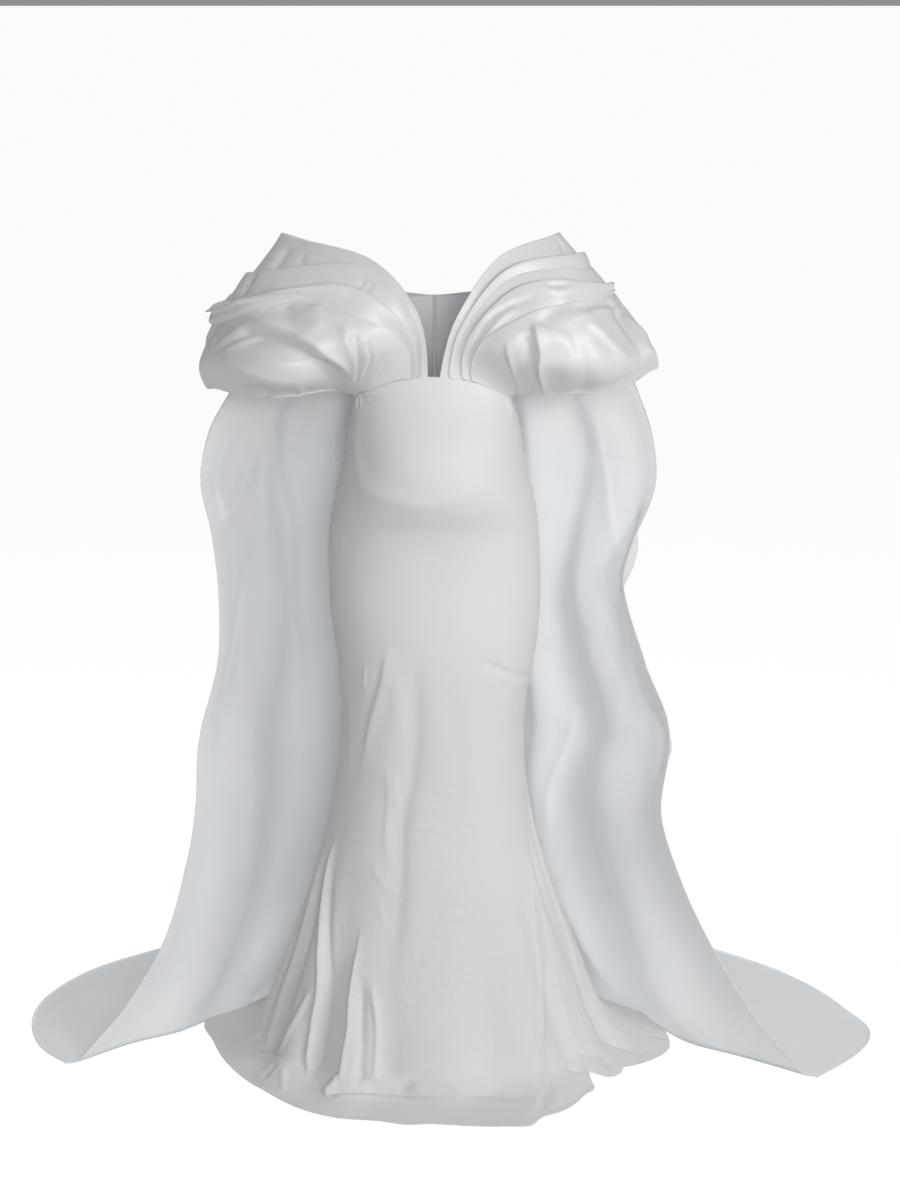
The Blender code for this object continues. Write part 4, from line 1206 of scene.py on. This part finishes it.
def cape(across, down):
    """The cape's outer face, from its two coordinates."""
    wall = np.clip(down, 0, 1)
    half = 1 - np.abs(2 * across - 1)
    top = curve(CAPE_TOP, half, "height")
    lying = ORGANZA + SEAM_GAP
    height = top + (lying - top) * wall
    x, y = cape_section(across, height)
    floor_x, floor_y = cape_section(across, 0.0)
    settled = ease(1 - height / SETTLES)
    x = x + (curve(GROUND, across, "x") - floor_x) * settled
    y = y + (curve(GROUND, across, "y") - floor_y) * settled
    hangs, lies_flat = SEATED
    seated = ease((height - hangs) / (lies_flat - hangs))
    y = y + (BACK_LINE + SEAM_GAP + ORGANZA - y) * seated
    folds = np.zeros(x.shape)
    for middle, width, top_depth, low_depth in CAPE_FOLDS[1:]:
        depth = top_depth + (low_depth - top_depth) * wall
        folds = folds + depth * bump(across - middle, width)
    flattened = np.where(folds > 0, PRESSED_FLAT, 1.0) * seated
    folds = folds * (1 - flattened) * ease((1 - wall) / FOLDS_LIE_DOWN + FOLDS_LEFT)
    reach = np.hypot(x, y)
    x = x + folds * x / reach
    y = y + folds * y / reach
    for middle, half_height, bulge, inward in EDGE_CURLS[1:]:
        here = bump(height - middle, half_height)
        curl = here * inward * ease((across - CURL_FROM) / CURL_WIDE)
        x = x + here * bulge * bump(across - BULGE_AT, BULGE_WIDE) - curl
        y = y - curl
    lie = np.clip(down - 1, 0, 1)
    hem_angle = np.radians(curve(TRAIN, across, "angle"))
    hem_reach = curve(TRAIN, across, "reach")
    x = x + (hem_reach * np.sin(hem_angle) - x) * lie
    y = y + (-hem_reach * np.cos(hem_angle) - y) * lie
    return points(x, y, height)


# %% [markdown]
# ### The cape's creases
#
# Two kinds show on its inner side: long narrow ones that fall from the sleeves, where
# the organza was folded for storing, and soft boundaries where a broad fold turns from
# the light. The outer side and the train get similar ones.

# %% The cape's creases: half width, depth, lean, then across and down of each place
CAPE_CREASES = (
    # left, as seen from the front
    (6, -3, 0.4, (0.13, 0.235), (0.1, 0.29), (0.075, 0.346), (0.033, 0.465),
     (0.023, 0.545)),
    (11, 5, 0.3, (0.112, 0.205), (0.077, 0.273), (0.013, 0.31)),
    (12, -4, 0, (0.06, 0.15), (0.045, 0.22), (0.03, 0.28)),
    (18, 7, 0.3, (0.125, 0.15), (0.16, 0.23), (0.187, 0.304), (0.18, 0.38), (0.172, 0.439),
     (0.19, 0.5), (0.205, 0.564), (0.223, 0.7)),
    (26, 6, 0, (0.09, 0.56), (0.11, 0.7), (0.12, 0.86)),
    # right, as seen from the front
    (9, 2.4, 0.4, (0.892, 0.135), (0.89, 0.214), (0.903, 0.268), (0.952, 0.354),
     (0.97, 0.425), (0.948, 0.516), (0.942, 0.645)),
    (7, 3, 0.3, (0.8, 0.575), (0.773, 0.672), (0.747, 0.79)),
    (24, -3, 0, (0.858, 0.18), (0.888, 0.316), (0.903, 0.48)),
    (28, 4, 0, (0.87, 0.6), (0.85, 0.74), (0.86, 0.88)),
    # behind
    (12, 6, 0.3, (0.3, 0.18), (0.31, 0.4), (0.33, 0.64)),
    (10, -5, 0.3, (0.4, 0.16), (0.39, 0.34), (0.4, 0.56)),
    (14, 6, 0, (0.47, 0.2), (0.48, 0.46), (0.46, 0.72)),
    (10, -5, -0.3, (0.56, 0.17), (0.55, 0.38), (0.57, 0.6)),
    (13, 6, 0.3, (0.64, 0.18), (0.65, 0.42), (0.63, 0.68)),
    (11, -5, 0, (0.7, 0.3), (0.71, 0.52), (0.69, 0.76)),
    # the train
    (11, 5, 0, (0.2, 1.1), (0.19, 1.45), (0.18, 1.85)),
    (12, 6, 0, (0.35, 1.08), (0.36, 1.4), (0.35, 1.8)),
    (12, 5.5, 0, (0.52, 1.1), (0.5, 1.5), (0.51, 1.88)),
    (12, 6, 0, (0.67, 1.08), (0.66, 1.42), (0.67, 1.82)),
    (11, 5, 0, (0.82, 1.1), (0.83, 1.45), (0.825, 1.86)),
)

# %% [markdown]
# ### Joining its two widths
#
# The cloth isn't wide enough for the whole cape, so it has a seam down its centre back.
# The whole arch is creased first and parted at the seam after that, so the folds run
# on across it. The free edges and the train end in a narrow rolled hem.

# %% Make the cape
CAPE_WALL = 0.0007
CAPE_WAVER = 0.0012
CAPE_GAP = 0.0005          # at the seam down the centre back
CAPE_ROWS = ((0, 1, 160), (2, 50))
HALF_CAPE = 116            # columns of each width
WAVERS_BELOW = 0.15        # it wavers freely this far below the sleeves' backs
WAVERS_ABOVE = 0.05        # and above the floor
ROLLED_RADIUS = 0.0009     # of the rolled hem
ROLLED_FROM, ROLLED_TO, ROLLED_STEPS = 40, 300, 7


def rolled(edge, beside, outer):
    """Points of a narrow roll past an edge, from its line, the line beside it and
    the side that it rolls to."""
    away = edge - beside
    away = away / np.linalg.norm(away, axis=-1, keepdims=True)
    turns = np.radians(spread(ROLLED_FROM, ROLLED_TO, ROLLED_STEPS))[:, None, None]
    return edge + ROLLED_RADIUS * (np.sin(turns) * away + (1 - np.cos(turns)) * outer)


def make_cape(side, grid):
    """One width of the cape, with its free edge and its hem rolled."""
    way, edge, beside = (-1, 0, 1) if side == "left" else (1, -1, -2)
    roll = rolled(grid[:, edge], grid[:, beside], -normals_of(grid)[:, edge])
    roll = roll.transpose(1, 0, 2)
    grid = np.concatenate([roll[:, ::-1], grid] if side == "left" else [grid, roll], axis=1)
    grid = np.concatenate([grid, rolled(grid[-1], grid[-2], np.array((0, 0, 1.0)))])
    shift = np.array((way * CAPE_GAP / 2, 0, 0))
    return cloth("organza_cape_" + side, grid + shift, CAPE_WALL)


arch = cape(spread(0, 1, 2 * HALF_CAPE - 1)[None, :], grid_lines(CAPE_ROWS)[:, None])
arch = creased(arch, -1, CAPE_CREASES, cape)
above = arch[..., 2] + HOLD_HEIGHT
free = ease((SEATED[1] - above) / WAVERS_BELOW) * ease(above / WAVERS_ABOVE)
arch = arch - normals_of(arch) * (waver(arch, CAPE_WAVER) * free)[..., None]
arch = off_floor(arch, ORGANZA)
capes = {
    "left": make_cape("left", arch[:, :HALF_CAPE]),
    "right": make_cape("right", arch[:, HALF_CAPE - 1:]),
}

# %% [markdown]
# ## Finishes
#
# Shader maths reads like ordinary maths here. A `Wire` holds a socket, or the number
# that goes into one, and each operator adds a Math node. `Finish` makes a material and
# has one method that adds any other node.

# %% Helpers for materials
class Finish:
    """A material that is wired up in code."""

    def __init__(self, name):
        self.material = bpy.data.materials.new(name)
        self.material.use_nodes = True
        self.tree = self.material.node_tree
        self.shader = self.tree.nodes["Principled BSDF"]

    def node(self, kind, settings=None, inputs=None, output=0):
        """Adds a node with its settings first, then its sockets' values or links."""
        made = self.tree.nodes.new(kind)
        for name, value in (settings or {}).items():
            if name == "stops":
                self.set_stops(made.color_ramp, value)
            else:
                setattr(made, name, value)
        for name, value in (inputs or {}).items():
            self.feed(made.inputs[name], value)
        return Wire(self, made.outputs[output])

    def set_stops(self, ramp, stops):
        while len(ramp.elements) < len(stops):
            ramp.elements.new(1.0)
        for element, (place, colour) in zip(ramp.elements, stops):
            element.position = place
            element.color = (*colour, 1.0)

    def feed(self, socket, value):
        if isinstance(value, Wire):
            self.tree.links.new(value.socket, socket)
        elif socket.type == "RGBA":
            socket.default_value = (*value, 1.0)
        else:
            socket.default_value = value

    def set(self, **values):
        """Sets or links the shader's own sockets, named with _ for a space."""
        for name, value in values.items():
            self.feed(self.shader.inputs[name.replace("_", " ")], value)


class Wire:
    """A socket of a material, with the operators that the finishes use."""

    def __init__(self, finish, socket):
        self.finish, self.socket = finish, socket

    def maths(self, operation, first, second):
        return self.finish.node(
            "ShaderNodeMath", {"operation": operation}, {0: first, 1: second}
        )

    def __add__(self, other):
        return self.maths("ADD", self, other)

    def __mul__(self, other):
        return self.maths("MULTIPLY", self, other)

    def __truediv__(self, other):
        return self.maths("DIVIDE", self, other)


# %% [markdown]
# ### Ivory stretch crepe
#
# Crepe is woven of hard-twisted yarn, so it's matt, with a fine pebble of about half a
# millimetre and hardly any shine. Next to the organza its white is neutral. The pebble
# is a fine noise along the cloth's own UV map, with faint ribs down the length, both as
# bump only. Where the skirt is free of the body it's a little crumpled from handling:
# that's a broader bump, which fades out above the knees, where the cloth is stretched.

# %% Ivory crepe
SMOOTH_ABOVE = 0.65        # heights between which the crumple fades out
CRUMPLED_BELOW = 0.25


def make_crepe():
    finish = Finish("ivory_stretch_crepe")
    cut = finish.node("ShaderNodeUVMap", {"uv_map": "cut"})
    place = finish.node("ShaderNodeTexCoord", output="Object")
    cloud = finish.node(
        "ShaderNodeTexNoise", None, {"Vector": place, "Scale": 5.0, "Detail": 3.0}
    )
    pebble = finish.node(
        "ShaderNodeTexNoise", None, {"Vector": cut, "Scale": 1300.0, "Detail": 2.0}
    )
    ribs = finish.node(
        "ShaderNodeTexWave", {"wave_type": "BANDS", "bands_direction": "X"},
        {"Vector": cut, "Scale": 420.0, "Distortion": 2.0, "Detail": 1.0},
    )
    grain = pebble * 0.7 + ribs * 0.3
    colour = finish.node(
        "ShaderNodeValToRGB",
        {"stops": ((0.25, (0.800, 0.799, 0.805)), (0.75, (0.832, 0.831, 0.835)))},
        {"Fac": cloud},
    )
    crinkle = finish.node(
        "ShaderNodeTexNoise", None,
        {"Vector": place, "Scale": 13.0, "Detail": 5.0, "Roughness": 0.62,
         "Distortion": 1.6},
    )
    height = finish.node("ShaderNodeSeparateXYZ", None, {"Vector": place}, output=2)
    low_down = finish.node(
        "ShaderNodeMapRange", {"interpolation_type": "SMOOTHSTEP"},
        {"Value": height, "From Min": SMOOTH_ABOVE - HOLD_HEIGHT,
         "From Max": CRUMPLED_BELOW - HOLD_HEIGHT, "To Min": 0.05, "To Max": 1.0},
    )
    soft = finish.node(
        "ShaderNodeBump", None,
        {"Height": crinkle * low_down, "Strength": 0.45, "Distance": 0.0060},
    )
    weave = finish.node(
        "ShaderNodeBump", None,
        {"Height": grain, "Strength": 0.35, "Distance": 0.0002, "Normal": soft},
    )
    finish.set(
        Base_Color=colour, Roughness=cloud * 0.10 + 0.70, Normal=weave,
        Sheen_Weight=0.15, Sheen_Roughness=0.5, Specular_IOR_Level=0.25,
    )
    return finish.material


# %% [markdown]
# ### Satin organza
#
# The drapes and the cape are a heavier organza with a satin face: crisp, cool white and
# softly shiny, with a plain weave that's too fine to see from a step away. The shine is
# broken by tiny crinkles, which a noise in the bump gives, and the roughness wanders a
# little, as a handled cloth's does. Organza lets some light through, most near the bright
# floor. That light is painted: a weak glow, an emission that fades with the height and
# lightens the cloth's shade.

# %% Satin organza
GLOW_FADES = 1.60          # height over which the painted glow fades


def make_organza():
    finish = Finish("satin_organza_white")
    cut = finish.node("ShaderNodeUVMap", {"uv_map": "cut"})
    place = finish.node("ShaderNodeTexCoord", output="Object")
    cloud = finish.node(
        "ShaderNodeTexNoise", None, {"Vector": place, "Scale": 7.0, "Detail": 4.0}
    )
    crinkle = finish.node(
        "ShaderNodeTexNoise", None,
        {"Vector": place, "Scale": 46.0, "Detail": 5.0, "Roughness": 0.55,
         "Distortion": 0.4},
    )
    warp = finish.node(
        "ShaderNodeTexWave", {"wave_type": "BANDS", "bands_direction": "X"},
        {"Vector": cut, "Scale": 800.0, "Distortion": 0.6},
    )
    weft = finish.node(
        "ShaderNodeTexWave", {"wave_type": "BANDS", "bands_direction": "Y"},
        {"Vector": cut, "Scale": 800.0, "Distortion": 0.6},
    )
    colour = finish.node(
        "ShaderNodeValToRGB",
        {"stops": ((0.25, (0.752, 0.763, 0.773)), (0.75, (0.792, 0.801, 0.809)))},
        {"Fac": cloud},
    )
    height = finish.node("ShaderNodeSeparateXYZ", None, {"Vector": place}, output=2)
    above_floor = height + HOLD_HEIGHT
    # painted glow: an emission colour, brightest at the floor and nearly gone above 1.3 m,
    # stands in for light passing through the organza and lightens its shade
    painted_glow = finish.node(
        "ShaderNodeValToRGB",
        {"stops": ((0.0, (0.93, 0.97, 1.0)), (0.25, (0.57, 0.61, 0.65)),
                   (0.70, (0.50, 0.54, 0.58)), (0.80, (0.07, 0.08, 0.09)))},
        {"Fac": above_floor / GLOW_FADES},
    )
    soft = finish.node(
        "ShaderNodeBump", None, {"Height": crinkle, "Strength": 0.20, "Distance": 0.0030}
    )
    weave = finish.node(
        "ShaderNodeBump", None,
        {"Height": warp * weft, "Strength": 0.20, "Distance": 0.0001, "Normal": soft},
    )
    finish.set(
        Base_Color=colour, Roughness=cloud * 0.12 + 0.26, Normal=weave,
        Emission_Color=painted_glow, Emission_Strength=0.16,
        Sheen_Weight=0.10, Sheen_Roughness=0.4, Specular_IOR_Level=0.5,
    )
    return finish.material


crepe = make_crepe()
organza = make_organza()

# %% [markdown]
# ## Studio floor and light
#
# The dress stands on a plain white floor that runs to the horizon and glows a little, so
# it stays white where no lamp reaches. It sends no light back up, or the shade below the
# belly and in the folds would be lost. The key light is large and soft and comes from the
# front right, so the left side of the skirt turns grey and the folds show. A weaker one
# near the camera, with a grid that narrows its beam, opens the shade. A broad one from
# above and behind lights the back of the cape and the train.

# %% Floor, lights and tone
FLOOR_SIZE = 20000.0

deselect()
bpy.ops.mesh.primitive_plane_add(size=FLOOR_SIZE, location=(0, 0, -HOLD_HEIGHT - 0.0002))
floor = bpy.context.object
floor.name = "studio_floor"
floor.visible_diffuse = False
pale = Finish("studio_white")
pale.set(
    Base_Color=(0.22, 0.22, 0.22), Roughness=0.9, Specular_IOR_Level=0.0,
    Emission_Color=(1.0, 1.0, 1.0), Emission_Strength=0.90,
)
floor.data.materials.append(pale.material)


def aim(light, target):
    way = np.array(target) - np.array(light.location)
    light.rotation_euler = (
        math.atan2(math.hypot(way[0], way[1]), -way[2]), 0, math.atan2(-way[0], way[1])
    )


def area_light(name, location, size, watts, target=(0, 0, -0.4), opening=180):
    """A square soft light. A grid in front of it narrows its opening, in degrees."""
    lamp = bpy.data.lights.new(name, "AREA")
    lamp.shape = "SQUARE"
    lamp.size = size
    lamp.energy = watts
    lamp.spread = math.radians(opening)
    light = bpy.data.objects.new(name, lamp)
    bpy.context.scene.collection.objects.link(light)
    light.location = location
    light.visible_camera = False
    aim(light, target)


area_light("key_right", (3.0, -2.8, 1.0), 1.2, 58)
area_light("front_soft", (0.4, -3.5, 0.4), 1.3, 13, target=(-0.1, 0, -0.25), opening=100)
area_light("top_back", (-0.6, 1.6, 2.6), 2.5, 24, target=(-0.5, 0.3, -1.3))

world = bpy.data.worlds.new("studio")
bpy.context.scene.world = world
world.use_nodes = True
sky = world.node_tree.nodes["Background"]
sky.inputs["Color"].default_value = (0.97, 0.985, 1.0, 1.0)
sky.inputs["Strength"].default_value = 0.28
bpy.context.scene.view_settings.view_transform = "Standard"

# %% [markdown]
# ## Each piece and its solid
#
# Every piece rides on the dress's one body, stands for its solid and takes the finish of
# the cloth that its name starts with.

# %% Say what each piece is
FINISHES = {"crepe": (crepe, "ivory_crepe"), "organza": (organza, "satin_organza")}
SHEETS = (
    (skirt_front, "skirt_front", (1.20, 1.36), 1.00, "hung"),
    (skirt_backs["left"], "skirt_back_left", (0.62, 1.32), 0.48, "hung"),
    (skirt_backs["right"], "skirt_back_right", (0.62, 1.32), 0.48, "hung"),
    (drapes["left"], "sleeve_left", (0.48, 0.86), 0.34, "draped"),
    (drapes["right"], "sleeve_right", (0.48, 0.86), 0.32, "draped"),
    (bodice_backs["left"], "bodice_back_left", (0.24, 0.17), 0.036, "stretched"),
    (bodice_backs["right"], "bodice_back_right", (0.24, 0.17), 0.036, "stretched"),
    (capes["left"], "cape_left", (1.05, 1.95), 1.30, "hung"),
    (capes["right"], "cape_right", (1.05, 1.95), 1.30, "hung"),
)
for piece, node, flat, area, held in SHEETS:
    finish, slot = FINISHES[piece.name.split("_")[0]]
    piece.data.materials.clear()
    piece.data.materials.append(finish)
    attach(piece, "root")
    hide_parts(node)
    print(piece.name, "stands for", node)
